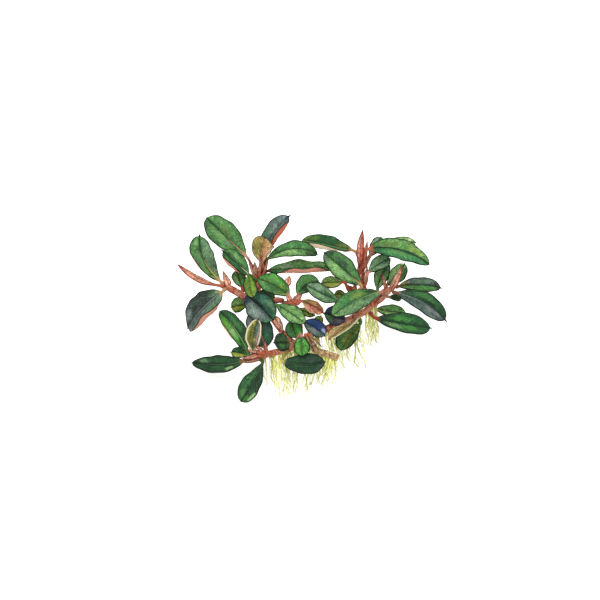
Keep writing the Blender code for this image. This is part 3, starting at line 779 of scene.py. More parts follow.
def relief(half, off, run, opening):
    """How far the midline, veins and bulge of a half raise its top and lower its back."""
    hump = np.sin(math.pi * ACROSS)
    vein = (run - off * (VEIN_SLANT + VEIN_BEND * off)) / VEIN_SPACING
    ridges = VEIN_RELIEF * np.cos(2 * math.pi * vein) * hump * opening
    groove = GROOVE_DEPTH * np.exp(-((off / GROOVE_WIDTH) ** 2)) * (0.35 + 0.65 * opening)
    rib = RIB_DEPTH * np.exp(-((off / RIB_WIDTH) ** 2)) * opening
    dome = HALF_DOME * half * hump * opening
    return dome - groove - ridges, rib - dome + ridges


def section(centre, side, normal, halves, thick, fold=0.0, curls=(0.0, 0.0), flaps=(0.0, 0.0),
            ripples=(0.0, 0.0), opening=0.0, run=0.0, rolled=False):
    """Points round one section: from the right margin over the top, and back below.

    With them come each point's share and length across, and its distance from the margin.
    """
    rows = []
    for hand, i in ((1, 1), (-1, 0)):
        half = halves[i]
        out, rise, lean = cross_section(fold, curls[i], flaps[i])
        off = ACROSS * half
        to_margin = half - off
        edge = np.sqrt(1 - np.clip(1 - to_margin / EDGE_ROUND, 0, 1) ** 2)
        depth = thick * ((1 - opening) * np.sqrt(1 - ACROSS**2) + opening * edge)
        top, below = depth, depth
        if not rolled:
            raised, lowered = relief(half, off, run, opening)
            top, below = depth + raised, depth + lowered
        place = centre + np.outer(hand * half * out, side)
        place = place + np.outer(half * rise + ripples[i] * ACROSS**2, normal)
        up = np.outer(np.cos(lean), normal) - np.outer(hand * np.sin(lean), side)
        rows.append((place + up * top[:, None], place - up * below[:, None], half, to_margin))
    (right, right_below, right_half, right_edge), (left, left_below, left_half, left_edge) = rows
    ring = np.concatenate([right[::-1], left[1:], left_below[-2::-1], right_below[1:-1]])
    signed = np.concatenate([ACROSS[::-1], -ACROSS[1:], -ACROSS[-2::-1], ACROSS[1:-1]])
    edges = np.concatenate([right_edge[::-1], left_edge[1:], left_edge[-2::-1], right_edge[1:-1]])
    lengths = np.where(signed > 0, signed * right_half, signed * left_half)
    return ring, signed, lengths, edges


def stalk_rings(foot, start, lead, neck, radius, length, normal, last_way, rolled):
    """Rings of a leaf's stalk from foot to neck, turned to meet the blade's first ring."""
    reach = np.linalg.norm(neck - foot)
    rings, marks = [], []
    steps = max(5, round(reach / STALK_STEP))
    for k in range(steps - 1, -1, -1):
        share = k / steps
        back = 1 - share
        centre = back**3 * foot + 3 * back**2 * share * start
        centre = centre + 3 * back * share**2 * lead + share**3 * neck
        way = back**2 * (start - foot) + 2 * back * share * (lead - start)
        way = unit(way + share**2 * (neck - lead))
        normal, last_way = carried(normal, last_way, way), way
        size = radius * (1 + STALK_FLARE * math.exp(-share * reach / STALK_FLARE_LENGTH))
        ring, signed, lengths, _ = section(
            centre, np.cross(way, normal), normal, (size, size), size, rolled=rolled,
        )
        run = share * reach - reach
        rings.append(ring)
        marks.append(marked(len(ring), signed, run / length, lengths, run, FAR_FROM_MARGIN))
    return rings[::-1], marks[::-1]


def leaf(name, holder, at, neck, tip, width, bend=(0, 0, 0), face=53, turn=0, fold=8, curl_left=0,
         curl_right=0, flap_left=0, flap_right=0, flap_end=1.5, wave=0.0,
         thick=BLADE_HALF_THICKNESS, base_taper=0.75, tip_taper=0.55, slot=None, inside=False,
         rolled=False, point_length=POINT_LENGTH, **paint):
    """A leaf that grows at this share of a stem. face is how far up its top looks, in degrees.

    Its right half is on the right of a viewer who looks from stalk to tip with its top up.
    One that starts inside its stem belongs to the stem's node.
    """
    neck, tip = spot(*neck), spot(*tip)
    middle = (neck + tip) / 2 + 2 * shift(*bend)
    points, radii = STEMS[holder]
    heart, way, i, rest = along(points, at)
    radius = radii[i] + (radii[i + 1] - radii[i]) * rest
    out = neck - heart
    if 0.02 < at < 0.98:
        out = out - way * out.dot(way) / 2
    out = unit(out)
    foot = heart + out * (radius / 5 if inside else radius + GAP + STALK_RADIUS * 0.8)
    reach = np.linalg.norm(neck - foot)
    lead = neck - unit(middle - neck) * reach * STALK_BOW
    start = foot + out * reach * STALK_BOW
    length = np.linalg.norm(middle - neck) + np.linalg.norm(tip - middle)
    dice = dice_for(name + holder)
    phases = dice.uniform(0, ANY_TURN, 6)
    rates = dice.uniform(0.8, 1.25, 2)

    look, angle = math.radians(face), math.radians(turn)
    facing = np.array([0.0, -math.cos(look), math.sin(look)])
    end = 0.0 if rolled else point_length * POINT_SHARE / length
    count = max(18, round(length / BLADE_STEP))
    rings, marks = [], []
    for k in range(count):
        share = 1 - (1 - k / count) ** STATION_CROWD
        centre = (1 - share) ** 2 * neck + 2 * share * (1 - share) * middle + share**2 * tip
        way = unit((1 - share) * (middle - neck) + share * (tip - middle))
        normal = unit(facing - way * facing.dot(way))
        side = np.cross(way, normal)
        normal, side = (
            normal * math.cos(angle) + side * math.sin(angle),
            side * math.cos(angle) - normal * math.sin(angle),
        )
        if k == 0:
            neck_normal, neck_way = normal, way
        opening = min(1.0, share / NECK_SHARE)
        opening = opening * opening * (3 - 2 * opening)
        swell = widths(min(1.0, share / (1 - end)), base_taper, tip_taper)
        last = (1 - share) * length / point_length
        point = POINT_HALF_WIDTH * point_length / POINT_LENGTH * min(1.0, last) if end else 0.0
        bulk = thick + (STALK_RADIUS - thick) * (1 - opening)
        bulk = min(bulk, max(point, 0.05) if last < 1 and end else bulk)
        if rolled and share > 0.5:
            bulk *= min(1.0, 1.5 * swell)
        roll = opening * swell * min(1.0, max(0.0, (flap_end - share) / FLAP_FADE))
        curls = [math.radians(c) * roll for c in (curl_left, curl_right)]
        flaps = [flap * roll for flap in (flap_left, flap_right)]
        shoulder = STALK_RADIUS * (1 - share) * (share < 0.5)
        lobes, ripples = [], []
        for hand, late in ((0, 0.0), (1, RIGHT_WAVE_SHIFT)):
            uneven = 0.04 * math.sin(share * 9 * rates[hand] + phases[hand])
            uneven += 0.026 * math.sin(share * 21 * rates[hand] + phases[hand + 2])
            blade = width / 2 * swell * (1 + uneven)
            lobe = softer_max(max(blade, point), shoulder, 0.25 * (1 - share) ** 6)
            lobes.append(lobe * (1 + flaps[hand]))
            ripple = wave * swell * math.sin(2 * math.pi * (MARGIN_WAVES * share + late))
            if not rolled:
                beat = share * length / RIPPLE_LENGTH * rates[hand] + phases[4 + hand]
                ripple += RIPPLE_HEIGHT * swell * math.sin(beat)
            ripples.append(ripple)
        run = share * length
        ring, signed, lengths, edges = section(
            centre, side, normal, lobes, bulk, math.radians(fold) * opening, curls, flaps,
            ripples, 0.0 if rolled else opening, run, rolled,
        )
        rings.append(ring)
        marks.append(marked(len(ring), signed, share, lengths, run, edges))

    stalk, stalk_marks = stalk_rings(
        foot, start, lead, neck, STALK_RADIUS, length, neck_normal, neck_way, rolled,
    )
    material = leaf_material(name + "_paint", length, point_length, **paint)
    body = skin(
        name + "_fine", stalk + rings, stalk_marks + marks, heart + out * radius * 0.2, tip,
        material, below_from=2 * HALF_STEPS,
    )
    keep(body, holder if inside else name)


# Roots
def strand(start, tip, sway, lying, radius, dice, shade):
    """Rings of one root that leaves a stem, bends down and lies on the floor if it reaches it."""
    run = tip - start
    bow = np.array([sway, -abs(sway) * ROOT_FORWARD, 0.0])
    middle = start + run * ROOT_MIDDLE + bow
    touch = start + run * (LYING_TOUCH if lying else HANGING_TOUCH) - bow / 2
    if lying:
        touch[2] = touch[2] * TOUCH_LIFT
    line = smooth_line([start, middle, touch, tip], ROOT_STEP)
    reach = reaches(line)
    share = reach / reach[-1]
    phases, rates = dice.uniform(0, ANY_TURN, 4), dice.uniform(0.25, 0.6, 4)
    wobble = np.sin(np.pi * share) * ROOT_WOBBLE
    slow = np.sin(reach * rates[0] + phases[0])
    quick = 0.5 * np.sin(reach * rates[1] * 2 + phases[1])
    line[:, 0] += wobble * (slow + quick)
    line[:, 1] += wobble * np.sin(reach * rates[2] + phases[2])
    knots = 1 + 0.12 * np.sin(reach * 1.7 * rates[3] + phases[3])
    sizes = radius * (1 - ROOT_TAPER * share**1.3) * knots
    line[:, 2] = np.maximum(line[:, 2], sizes)
    ways = directions(line)
    normal = unit(np.cross(ways[0], (0.31, 0.9, 0.2)))
    angles = np.arange(ROOT_SIDES) * 2 * math.pi / ROOT_SIDES
    rings, marks = [], []
    for i, (point, way, size) in enumerate(zip(line, ways, sizes)):
        if i:
            normal = carried(normal, ways[i - 1], way)
        rings.append(round_ring(point, normal, np.cross(way, normal), angles, size))
        marks.append(marked(ROOT_SIDES, angles / FULL_TURN, share[i], angles, reach[i], shade))
    return rings, marks, line[0], line[-1] + ways[-1] * sizes[-1]


def roots(holder, strands, extra):
    """The strong roots that hold a stem up, and thin ones between them, as one mesh."""
    points, _ = STEMS[holder]
    dice = dice_for(holder + "_roots")
    made = []
    for share, tip, sway in strands:
        start, tip = along(points, share)[0], spot(*tip)
        lying = tip[2] < LYING_HEIGHT
        if lying:
            tip[2] = ROOT_RADIUS * 0.5
        made.append(strand(start, tip, sway, lying, ROOT_RADIUS, dice, STRONG_ROOT_SHADE))
    for _ in range(extra):
        i = dice.integers(0, len(strands) - 1)
        part, short = dice.uniform(-0.4, 1.4), dice.uniform(0.55, 1.05)
        one, other = strands[i], strands[i + 1]
        share = min(0.97, max(0.03, one[0] + (other[0] - one[0]) * part))
        start = along(points, share)[0]
        tip = spot(*one[1]) * (1 - part) + spot(*other[1]) * part
        tip = tip + dice.uniform(-1, 1, 3) * TIP_STRAY
        tip = start + (tip - start) * short
        tip[2] = max(tip[2], 0.15)
        lying = tip[2] < FINE_LYING_HEIGHT
        radius = FINE_ROOT_RADIUS * dice.uniform(0.7, 1.25)
        shade = max(0.0, dice.uniform(-0.3, 1.0))
        made.append(strand(start, tip, dice.uniform(-1.2, 1.2), lying, radius, dice, shade))
    pieces = [skin(f"{holder}_root_{i}", *one, ROOT_PAINT) for i, one in enumerate(made)]
    keep(joined(holder + "_roots", pieces), holder)


def joined(name, pieces):
    """One object that holds the meshes of the pieces."""
    with bpy.context.temp_override(active_object=pieces[0], selected_editable_objects=pieces):
        bpy.ops.object.join()
    pieces[0].name = name
    pieces[0].data.name = name
    return pieces[0]


ROOT_PAINT = root_material()
RED_STEM = stem_material("red_stem_paint", "peach", "brick", "crimson", 0.55)
DUSTY_STEM = stem_material("dusty_stem_paint", "peach", "rust", "umber", 0.5)
OLD_STEM = stem_material("old_stem_paint", "sand", "brown", "umber", 0.4)

# The stems: (across, up, back, radius) from the foot of each to its end
HUB = (-8.5, 29.8, 22)
stem("lower_left_rhizome", (
    (-33, 20, 17.5, 1.4),
    (-29, 21.5, 19, 1.9),
    (-24.5, 23, 20, 1.7),
    (-17.5, 24.5, 20, 1.6),
    (-13, 26, 20, 1.5),
    (-9.5, 27.5, 20.5, 1.5),
), RED_STEM, after=HUB)
stem("old_rhizome", (
    (-5, 30.5, 20.5, 1.1),
    (-2.5, 27, 18.5, 1.4),
    (1, 24.5, 17.5, 1.6),
    (6, 23, 17, 1.7),
    (11, 21, 16.5, 1.6),
), OLD_STEM, before=HUB, flat_end=True)
stem("middle_rhizome", (
    (-7.5, 29.5, 22.5, 1.2),
    (-1.5, 33.5, 30, 1.3),
    (5, 36, 36, 1.35),
    (11, 38.5, 41, 1.4),
    (17, 40.5, 45, 1.6),
    (22.5, 43, 51, 1.7),
), RED_STEM, before=(-9.5, 28, 21))
stem("right_stem", (
    (25, 44.5, 54, 1.7),
    (27.5, 47, 57.5, 1.7),
    (31.5, 51.5, 63, 1.6),
    (36, 54.5, 67, 1.5),
    (39, 56.5, 69.5, 1.4),
), DUSTY_STEM, before=(22.5, 43, 51))
stem("left_stem", (
    (-11.5, 29.4, 23, 1.1),
    (-16.6, 33.6, 28.4, 1.4),
    (-21.5, 40.6, 35.3, 1.6),
    (-28, 46, 42, 1.6),
    (-33, 49.5, 46, 1.7),
    (-38, 53, 48, 1.7),
    (-42.5, 55.5, 49, 1.8),
    (-45, 56.5, 49.5, 1.3),
), RED_STEM, before=HUB)
stem("upper_left_stem", (
    (-30, 50, 48.5, 1.5),
    (-29.5, 54, 51, 1.8),
    (-29, 58.5, 54.5, 1.9),
    (-28, 62.5, 58, 1.7),
    (-27.5, 65, 60, 1.2),
), RED_STEM, before=(-30.5, 48, 44.5))
stem("centre_stem", (
    (-8, 34.5, 27, 1.5),
    (-8.5, 39, 31, 1.4),
    (-10, 43.5, 34.5, 1.4),
    (-11.5, 48, 38, 1.5),
    (-11.5, 50, 40, 1.2),
), RED_STEM, before=HUB)
stem("middle_stem", (
    (20.5, 45.5, 51, 1.3),
    (19.5, 48.5, 53, 1.5),
    (18, 53, 55, 1.6),
    (17.5, 56.5, 57, 1.2),
), RED_STEM, before=(22, 43, 50))
stem("upper_right_stem", (
    (25, 51, 62, 1.6),
    (24, 55, 64.5, 1.6),
    (23, 59.5, 67, 1.7),
    (23, 64, 70, 1.7),
    (23.5, 67.5, 72, 1.3),
), RED_STEM, before=(27, 47.5, 58))

# Roots: (share of the stem, tip, sway)
roots("lower_left_rhizome", (
    (0.32, (-25, 7.5, 15), -1.5),
    (0.42, (-21.5, 9.5, 14), 1.2),
    (0.52, (-18.5, 0.5, 1), -2),
    (0.66, (-15, 1, 2), 1.5),
    (0.8, (-13, 6, 8), -1.2),
    (0.93, (-10.5, 3, 6), 1.5),
), 46)
roots("old_rhizome", (
    (0.15, (-6.5, 3, 6), -1.5),
    (0.32, (-2.5, 7.5, 15), 1.5),
    (0.48, (0, 10.5, 17), -1),
    (0.62, (2.5, 7.5, 15), 1.2),
    (0.76, (5.5, 9.5, 14), -1.2),
    (0.88, (8.5, 8, 16), 1.5),
), 50)
roots("middle_rhizome", (
    (0.3, (7.5, 14, 27), -1),
    (0.45, (11.5, 14, 28), 1.5),
    (0.58, (14.5, 15.5, 31), -1.2),
    (0.7, (17, 19, 32), 1),
    (0.82, (21.5, 16.5, 33), 1.5),
    (0.94, (25, 15, 30), -1.5),
), 52)
roots("right_stem", (
    (0.06, (26, 27.5, 50), -1),
    (0.16, (28.5, 26.5, 53), 1),
    (0.26, (29.5, 31, 54), -1),
    (0.36, (31, 28.5, 57), 1),
), 24)
roots("left_stem", (
    (0.5, (-28.5, 22.5, 45), -1),
    (0.58, (-31.5, 24, 48), 1),
    (0.66, (-35, 25.5, 51), -1),
), 6)
roots("upper_right_stem", (
    (0.08, (18, 34, 68), -1),
    (0.2, (15.5, 36, 72), 1),
    (0.3, (20.5, 37.5, 75), -1),
), 6)

# Young shoots, each a leaf still rolled up
SHOOT = dict(
    left="blush", right="salmon", base="coral", end="salmon", midline="brick",
    midline_strength=0.6, veins=0.15, under="salmon", margin="crimson", margin_width=0.26,
    stalk="coral", point="umber", inside=True, rolled=True, slot="red_stem", tip_taper=1.0,
)
leaf("right_shoot_tall", "right_stem", 0.85, (36.6, 53.6, 68), (43.4, 68, 71), 3.7,
     bend=(0.6, -0.3, 0), thick=1, base_taper=0.7, **SHOOT)
leaf("right_shoot_thin", "right_stem", 0.76, (35, 56, 67), (33, 64, 68), 1.8, thick=0.5,
     base_taper=0.35, **SHOOT)
leaf("left_shoot", "left_stem", 0.97, (-43.6, 57, 50), (-46.7, 65, 52), 3.8, thick=0.8,
     base_taper=0.2, **SHOOT)
leaf("left_bud", "left_stem", 0.42, (-22, 49.5, 39), (-15.5, 50.3, 40.5), 3.2, thick=1.1,
     **{**SHOOT, "left": "salmon", "right": "coral", "base": "rust"})
leaf("upper_left_bract", "upper_left_stem", 0.77, (-29.5, 62.5, 56), (-30.5, 69.5, 57), 3,
     bend=(-0.5, 0, 0), thick=0.7, base_taper=0.4, **SHOOT)
leaf("centre_shoot", "centre_stem", 0.93, (-14.6, 56.6, 47.5), (-13.2, 62.2, 53), 3.6, thick=0.9,
     **SHOOT)
leaf("middle_red_bud", "middle_rhizome", 0.42, (6.4, 34.8, 33), (6.7, 38, 33), 3, thick=1.3,
     **{**SHOOT, "left": "salmon", "right": "coral", "end": "coral"})
leaf("middle_small_shoot", "middle_rhizome", 0.3, (0.8, 38, 31), (2.6, 42.8, 32.5), 4.4, thick=0.4,
     inside=True, slot="yellow_leaf", left="lime", right="olive", end="yellow_green")
leaf("stem_red_bud", "middle_stem", 0.75, (16.8, 54, 54), (16.2, 57.6, 54.5), 2.4, thick=0.9,
     **{**SHOOT, "left": "brick", "right": "crimson", "end": "crimson"})
leaf("stem_orange_bud", "middle_stem", 0.8, (19.3, 54.8, 54), (19.6, 58, 54), 2.4, thick=1,
     **{**SHOOT, "left": "ochre", "right": "brick", "end": "ochre"})
leaf("upper_right_shoot", "upper_right_stem", 1, (24, 70, 73), (26, 80, 78), 2.6, thick=0.8,
     base_taper=0.4, **SHOOT)

# Old sheaths and stalks that lie along the stems, and grow from them
SHEATH = {**SHOOT, "left": "blush", "right": "salmon", "end": "sand", "thick": 0.6,
          "base_taper": 0.4, "midline_strength": 0.7, "veins": 0.25}
OLD_STALK = {**SHEATH, "left": "sand", "right": "tan", "base": "ochre", "midline": "brown",
             "margin": "umber", "thick": 0.4, "slot": "brown_stem"}
SHEATHS = (
    ("right_sheath_front", "right_stem", 0.35, (29.8, 47.8, 57.5), (39.6, 58.5, 67), 2.5,
     (0.4, -0.6, 0)),
    ("right_sheath_upper", "right_stem", 0.3, (28, 49, 57), (36, 57.2, 65.5), 2.2),
    ("left_sheath_upper", "left_stem", 0.93, (-42, 55, 47), (-33.5, 49, 43.5), 2.5),
    ("left_sheath_middle", "left_stem", 0.8, (-37, 52.8, 45.5), (-29.5, 46.4, 40), 2.3),
    ("left_sheath_low", "left_stem", 0.26, (-20.8, 41.6, 33.3), (-16.2, 33.6, 26), 4.4),
    ("lower_sheath_long", "lower_left_rhizome", 0.3, (-28.5, 22.2, 17), (-37.8, 20.5, 15.3), 2.5),
    ("lower_sheath_low", "lower_left_rhizome", 0.28, (-27.5, 21, 17), (-35, 18.5, 14.2), 2.1),
    ("lower_sheath_upper", "lower_left_rhizome", 0.32, (-28.5, 24, 17.5), (-35, 25, 20.3), 2.3),
    ("lower_sheath_middle", "lower_left_rhizome", 0.42, (-26.6, 24, 18), (-30.8, 28, 17.5), 2),
    ("lower_sheath_right", "lower_left_rhizome", 0.5, (-24.5, 24.8, 18), (-26.2, 31, 22.5), 1.6),
    ("upper_left_sheath_left", "upper_left_stem", 0.7, (-30.6, 61.5, 54.5), (-34.3, 71.8, 59.5),
     1.8),
    ("upper_left_sheath_middle", "upper_left_stem", 0.8, (-28.4, 62.5, 55), (-27.2, 73, 57), 2),
    ("upper_left_sheath_right", "upper_left_stem", 0.85, (-26.2, 63, 55.5), (-23.6, 71.5, 58.5),
     1.7),
    ("centre_sheath_left", "centre_stem", 0.8, (-13, 48.8, 36.5), (-15, 54.6, 41), 2.2),
    ("centre_sheath_right", "centre_stem", 0.85, (-10, 49.4, 37.5), (-6.6, 53.2, 41), 2.2),
    ("upper_right_sheath_left", "upper_right_stem", 0.5, (22, 59, 64.5), (21.4, 69.5, 69.2), 2.8),
    ("upper_right_sheath_right", "upper_right_stem", 0.45, (24.8, 57.5, 64), (25.8, 68, 69), 2.4),
)
OLD_STALKS = (
    ("old_stalk_left", "old_rhizome", 0.1, (-6.2, 31, 18), (-3.4, 23.5, 13), 1.3),
    ("old_stalk_front", "old_rhizome", 0.12, (-5.2, 32.4, 18.5), (-0.8, 24.4, 13.2), 1.4),
    ("old_stalk_middle", "old_rhizome", 0.16, (-4, 33, 19), (1.6, 24.8, 13.8), 1.3),
    ("old_stalk_right", "old_rhizome", 0.2, (-2.8, 32.6, 19.5), (3.6, 26, 15), 1.3),
)
for row in SHEATHS:
    leaf(*row, **SHEATH)
for row in OLD_STALKS:
    leaf(*row, **OLD_STALK)

# The leaves: stem, share of its length, neck, tip and width
# Pale touches, such as pale_green, pale_slate and lavender strokes, are mostly painted highlights
leaf("upper_left_leaf_big", "upper_left_stem", 0.86, (-35, 72, 61), (-55.3, 91.7, 80), 14.4,
     bend=(-0.8, 0.7, 1), slot="fresh_leaf", left="leaf", rib_reach=0.46, rib_width=0.42,
     stalk="salmon", touches=(
         (-0.3, 0.55, 0.35, 0.3, "pale_green", 0.35), (-0.65, 0.86, 0.5, 0.17, "dark_slate", 0.6),
         (0.25, 0.52, 0.35, 0.2, "moss", 0.55), (0.6, 0.72, 0.3, 0.25, "fresh", 0.6),
         (-0.35, 0.33, 0.25, 0.1, "lilac", 0.35), (0.0, 0.88, 0.1, 0.12, "bottle", 0.8),
     ))
leaf("upper_left_leaf_dark_blue", "upper_left_stem", 1, (-27, 73, 67), (-12.5, 93, 77), 11.5,
     bend=(-1.1, 1.2, 0), turn=-18, curl_right=165, flap_right=0.45, point_length=2.4,
     slot="blue_leaf", left="slate", base="night", end="navy", under="coral", midline="ink",
     midline_strength=0.35, touches=(
         (-0.2, 0.55, 0.4, 0.22, "pale_slate", 0.5), (-0.35, 0.8, 0.5, 0.14, "pale_slate", 0.4),
         (0.1, 0.7, 0.25, 0.12, "slate", 0.5), (-0.6, 0.15, 0.6, 0.16, "outline", 0.8),
         (-0.6, 0.4, 0.3, 0.2, "sea", 0.6),
     ))
leaf("upper_left_leaf_olive", "upper_left_stem", 0.93, (-26.7, 67.5, 57), (-25, 81.8, 60), 11.3,
     bend=(-1.3, 0.3, 1), turn=180, base_taper=1.15, tip_taper=0.5, slot="olive_leaf", left="tan",
     right="khaki", base="salmon", under="khaki", under_share=0.0, midline="brown", veins=0.7,
     rib="salmon", rib_reach=0.5, stalk="coral", touches=(
         (0.5, 0.6, 0.5, 0.25, "olive", 0.5), (-0.4, 0.35, 0.4, 0.25, "salmon", 0.5),
         (-0.85, 0.45, 0.15, 0.35, "cream", 0.6), (0.1, 0.45, 0.2, 0.3, "brown", 0.45),
     ))
leaf("upper_left_leaf_right", "upper_left_stem", 1, (-24.3, 70.5, 60), (1.4, 72.5, 66), 8.8,
     bend=(0, 4.1, 0), slot="fresh_leaf", left="leaf", right="fresh", end="bottle", stalk="moss",
     under="tan", touches=(
         (0.3, 0.45, 0.35, 0.25, "pale_green", 0.7), (-0.45, 0.5, 0.35, 0.3, "sea", 0.5),
         (0.5, 0.8, 0.5, 0.16, "night", 0.8), (0.35, 0.62, 0.3, 0.12, "deep", 0.6),
         (-0.2, 0.25, 0.3, 0.14, "deep", 0.4),
     ))
leaf("upper_left_leaf_wavy", "upper_left_stem", 0.87, (-24.5, 64.5, 57), (8.5, 66, 67), 11.4,
     bend=(0, 0.7, 0), face=68, turn=-10, curl_right=160, wave=0.6, flap_right=0.45,
     slot="deep_leaf", left="fresh", right="leaf", base="bottle", under="salmon", margin_width=0.4,
     base_reach=0.4, stalk="umber", touches=(
         (-0.3, 0.3, 0.4, 0.16, "pale_slate", 0.45), (-0.1, 0.48, 0.4, 0.12, "leaf", 0.7),
         (-0.4, 0.62, 0.4, 0.16, "fresh", 0.6), (0.3, 0.35, 0.3, 0.2, "teal", 0.6),
     ))
leaf("upper_left_leaf_pink_edge", "upper_left_stem", 0.67, (-33.5, 62.5, 54), (-47.5, 75.5, 59.5),
     11, bend=(-0.2, 0.4, 0), turn=15, curl_left=160, flap_left=0.28, point_length=2.2,
     slot="deep_leaf", left="deep", right="leaf", end="night", under="salmon", rib="cream",
     rib_reach=0.35, rib_width=0.3, touches=(
         (0.45, 0.55, 0.3, 0.16, "pale_green", 0.6), (-0.2, 0.42, 0.3, 0.16, "sea", 0.7),
         (0.2, 0.72, 0.3, 0.12, "bottle", 0.8), (-0.45, 0.68, 0.3, 0.14, "fresh", 0.5),
         (0.1, 0.3, 0.4, 0.1, "bottle", 0.6),
     ))
leaf("upper_left_leaf_hanging", "upper_left_stem", 0.59, (-33.6, 62.3, 49), (-31.2, 50.8, 33.5), 7,
     bend=(-0.5, 0, -2), slot="yellow_leaf", left="lime", end="yellow_green", stalk="moss",
     midline="dark_olive", veins=0.6, touches=(
         (0.5, 0.5, 0.4, 0.3, "moss", 0.6), (-0.2, 0.6, 0.3, 0.3, "yellow_green", 0.5),
     ))
leaf("left_leaf_tall", "left_stem", 1, (-48, 59.5, 51), (-58, 83.5, 68), 12, bend=(-3.7, -0.2, 1),
     turn=12, curl_left=155, tip_taper=0.5, flap_left=0.16, flap_end=0.75, point_length=2.4,
     slot="fresh_leaf", left="leaf", right="grey_green", base="moss", end="leaf", under="salmon",
     rib="straw", rib_reach=0.5, rib_width=0.42, stalk="tan", touches=(
         (-0.4, 0.82, 0.35, 0.12, "pale_green", 0.7), (-0.35, 0.5, 0.35, 0.22, "grey_green", 0.6),
         (0.5, 0.3, 0.4, 0.3, "dark_slate", 0.5), (0.35, 0.6, 0.3, 0.2, "grey_green", 0.5),
         (0.1, 0.75, 0.15, 0.2, "deep", 0.7), (-0.6, 0.3, 0.3, 0.15, "fresh", 0.5),
     ))
leaf("left_leaf_drooping", "left_stem", 0.99, (-47, 54, 45), (-64.8, 35.3, 46), 16.5,
     bend=(-1.2, 0.7, -3), point_length=2, turn=12, curl_left=150, wave=0.7, base_taper=0.62,
     flap_left=0.3, slot="slate_leaf", left="slate", right="dark_slate", base="grey_green",
     under="salmon", rib="lilac", rib_reach=1.0, rib_width=0.36, stalk="tan", touches=(
         (0.6, 0.3, 0.4, 0.3, "night", 0.5), (0.35, 0.6, 0.25, 0.12, "outline", 0.6),
         (0.5, 0.78, 0.4, 0.14, "pale_slate", 0.4), (-0.4, 0.35, 0.3, 0.25, "grey_green", 0.6),
         (-0.3, 0.7, 0.3, 0.2, "night", 0.4), (-0.75, 0.75, 0.2, 0.25, "cream", 0.5),
         (0.2, 0.9, 0.5, 0.1, "night", 0.5),
     ))
leaf("left_leaf_rolled_red", "left_stem", 1, (-50, 57.5, 46), (-69.2, 68, 42), 3.6,
     bend=(-0.4, -1.7, 0), thick=1, slot="pink_leaf", left="salmon", base="coral", end="coral",
     midline="crimson", midline_strength=0.85, veins=0.1, under="dusty", margin="brick",
     margin_width=0.3, stalk="coral", rolled=True, point="crimson", tip_taper=0.8)
leaf("left_leaf_yellow_green", "left_stem", 0.66, (-34.8, 47.3, 51), (-43.2, 46, 52), 8.5,
     bend=(0, 0.6, 0), slot="yellow_leaf", left="lime", right="fresh", base="olive", end="lime",
     touches=(
         (-0.3, 0.6, 0.4, 0.25, "straw", 0.7), (0.2, 0.3, 0.5, 0.2, "moss", 0.4),
     ))
leaf("left_leaf_slate_front", "left_stem", 0.65, (-34.8, 53, 43), (-20.8, 39.6, 31), 15,
     bend=(-0.4, 0.6, -2), turn=18, fold=18, slot="slate_leaf", left="teal", right="slate",
     base="ink", end="sea", midline_strength=1.0, touches=(
         (0.5, 0.55, 0.4, 0.3, "pale_slate", 0.5), (0.6, 0.12, 0.6, 0.14, "ink", 0.7),
         (-0.12, 0.45, 0.2, 0.3, "outline", 0.8), (-0.5, 0.18, 0.4, 0.16, "navy", 0.8),
         (-0.65, 0.7, 0.3, 0.25, "grey_green", 0.7), (-0.35, 0.75, 0.25, 0.16, "pine", 0.7),
         (0.1, 0.85, 0.3, 0.1, "dark_slate", 0.6),
     ))
leaf("lower_left_leaf_bright", "lower_left_rhizome", 0.04, (-34.6, 25.4, 22), (-48.5, 45, 37),
     10.2, bend=(0.8, 0.9, 0), curl_left=150, flap_left=0.22, base_taper=0.6, slot="fresh_leaf",
     left="grass", right="deep", base="deep", end="bottle", under="cream", rib="pale_green",
     rib_reach=0.85, rib_width=0.22, stalk="leaf", touches=(
         (-0.35, 0.42, 0.35, 0.2, "pale_green", 0.8), (-0.5, 0.65, 0.3, 0.2, "lime", 0.6),
         (0.4, 0.55, 0.3, 0.25, "leaf", 0.6), (0.5, 0.25, 0.4, 0.16, "bottle", 0.6),
         (-0.2, 0.2, 0.3, 0.1, "bottle", 0.6),
     ))
leaf("lower_left_leaf_cupped", "lower_left_rhizome", 0.11, (-31.5, 24.5, 19), (-28.5, 41, 24), 8.5,
     bend=(-1, 0, 0), fold=25, slot="olive_leaf", left="olive", right="slate", base="dark_olive",
     end="dark_olive", under="tan", margin="cream", margin_width=0.75, stalk="brown",
     midline="umber", midline_strength=0.4, touches=(
         (0.0, 0.3, 0.45, 0.2, "olive", 0.8), (0.1, 0.35, 0.3, 0.14, "straw", 0.5),
         (0.1, 0.68, 0.4, 0.14, "slate", 0.5), (-0.5, 0.5, 0.2, 0.4, "umber", 0.5),
         (0.6, 0.5, 0.14, 0.35, "salmon", 0.7),
     ))
leaf("lower_left_leaf_teal", "lower_left_rhizome", 0.35, (-25.5, 26, 25), (-33, 45, 35), 13.4,
     bend=(1, 0, 1), base_taper=0.62, slot="slate_leaf", left="slate", right="teal", base="pine",
     end="slate", stalk="salmon", rib="salmon", rib_reach=0.45, rib_width=0.4, touches=(
         (0.5, 0.5, 0.3, 0.3, "slate", 0.6), (0.4, 0.25, 0.4, 0.15, "sea", 0.5),
         (-0.5, 0.8, 0.4, 0.14, "pale_slate", 0.5), (0.15, 0.6, 0.15, 0.3, "night", 0.6),
     ))
leaf("lower_left_leaf_small", "lower_left_rhizome", 0.06, (-34, 22.2, 22.8), (-43, 24, 27), 6.5,
     bend=(0, 0.5, 0), slot="yellow_leaf", left="yellow_green", right="deep", base="lime",
     end="bottle", touches=(
         (-0.4, 0.3, 0.5, 0.3, "straw", 0.5),
     ))
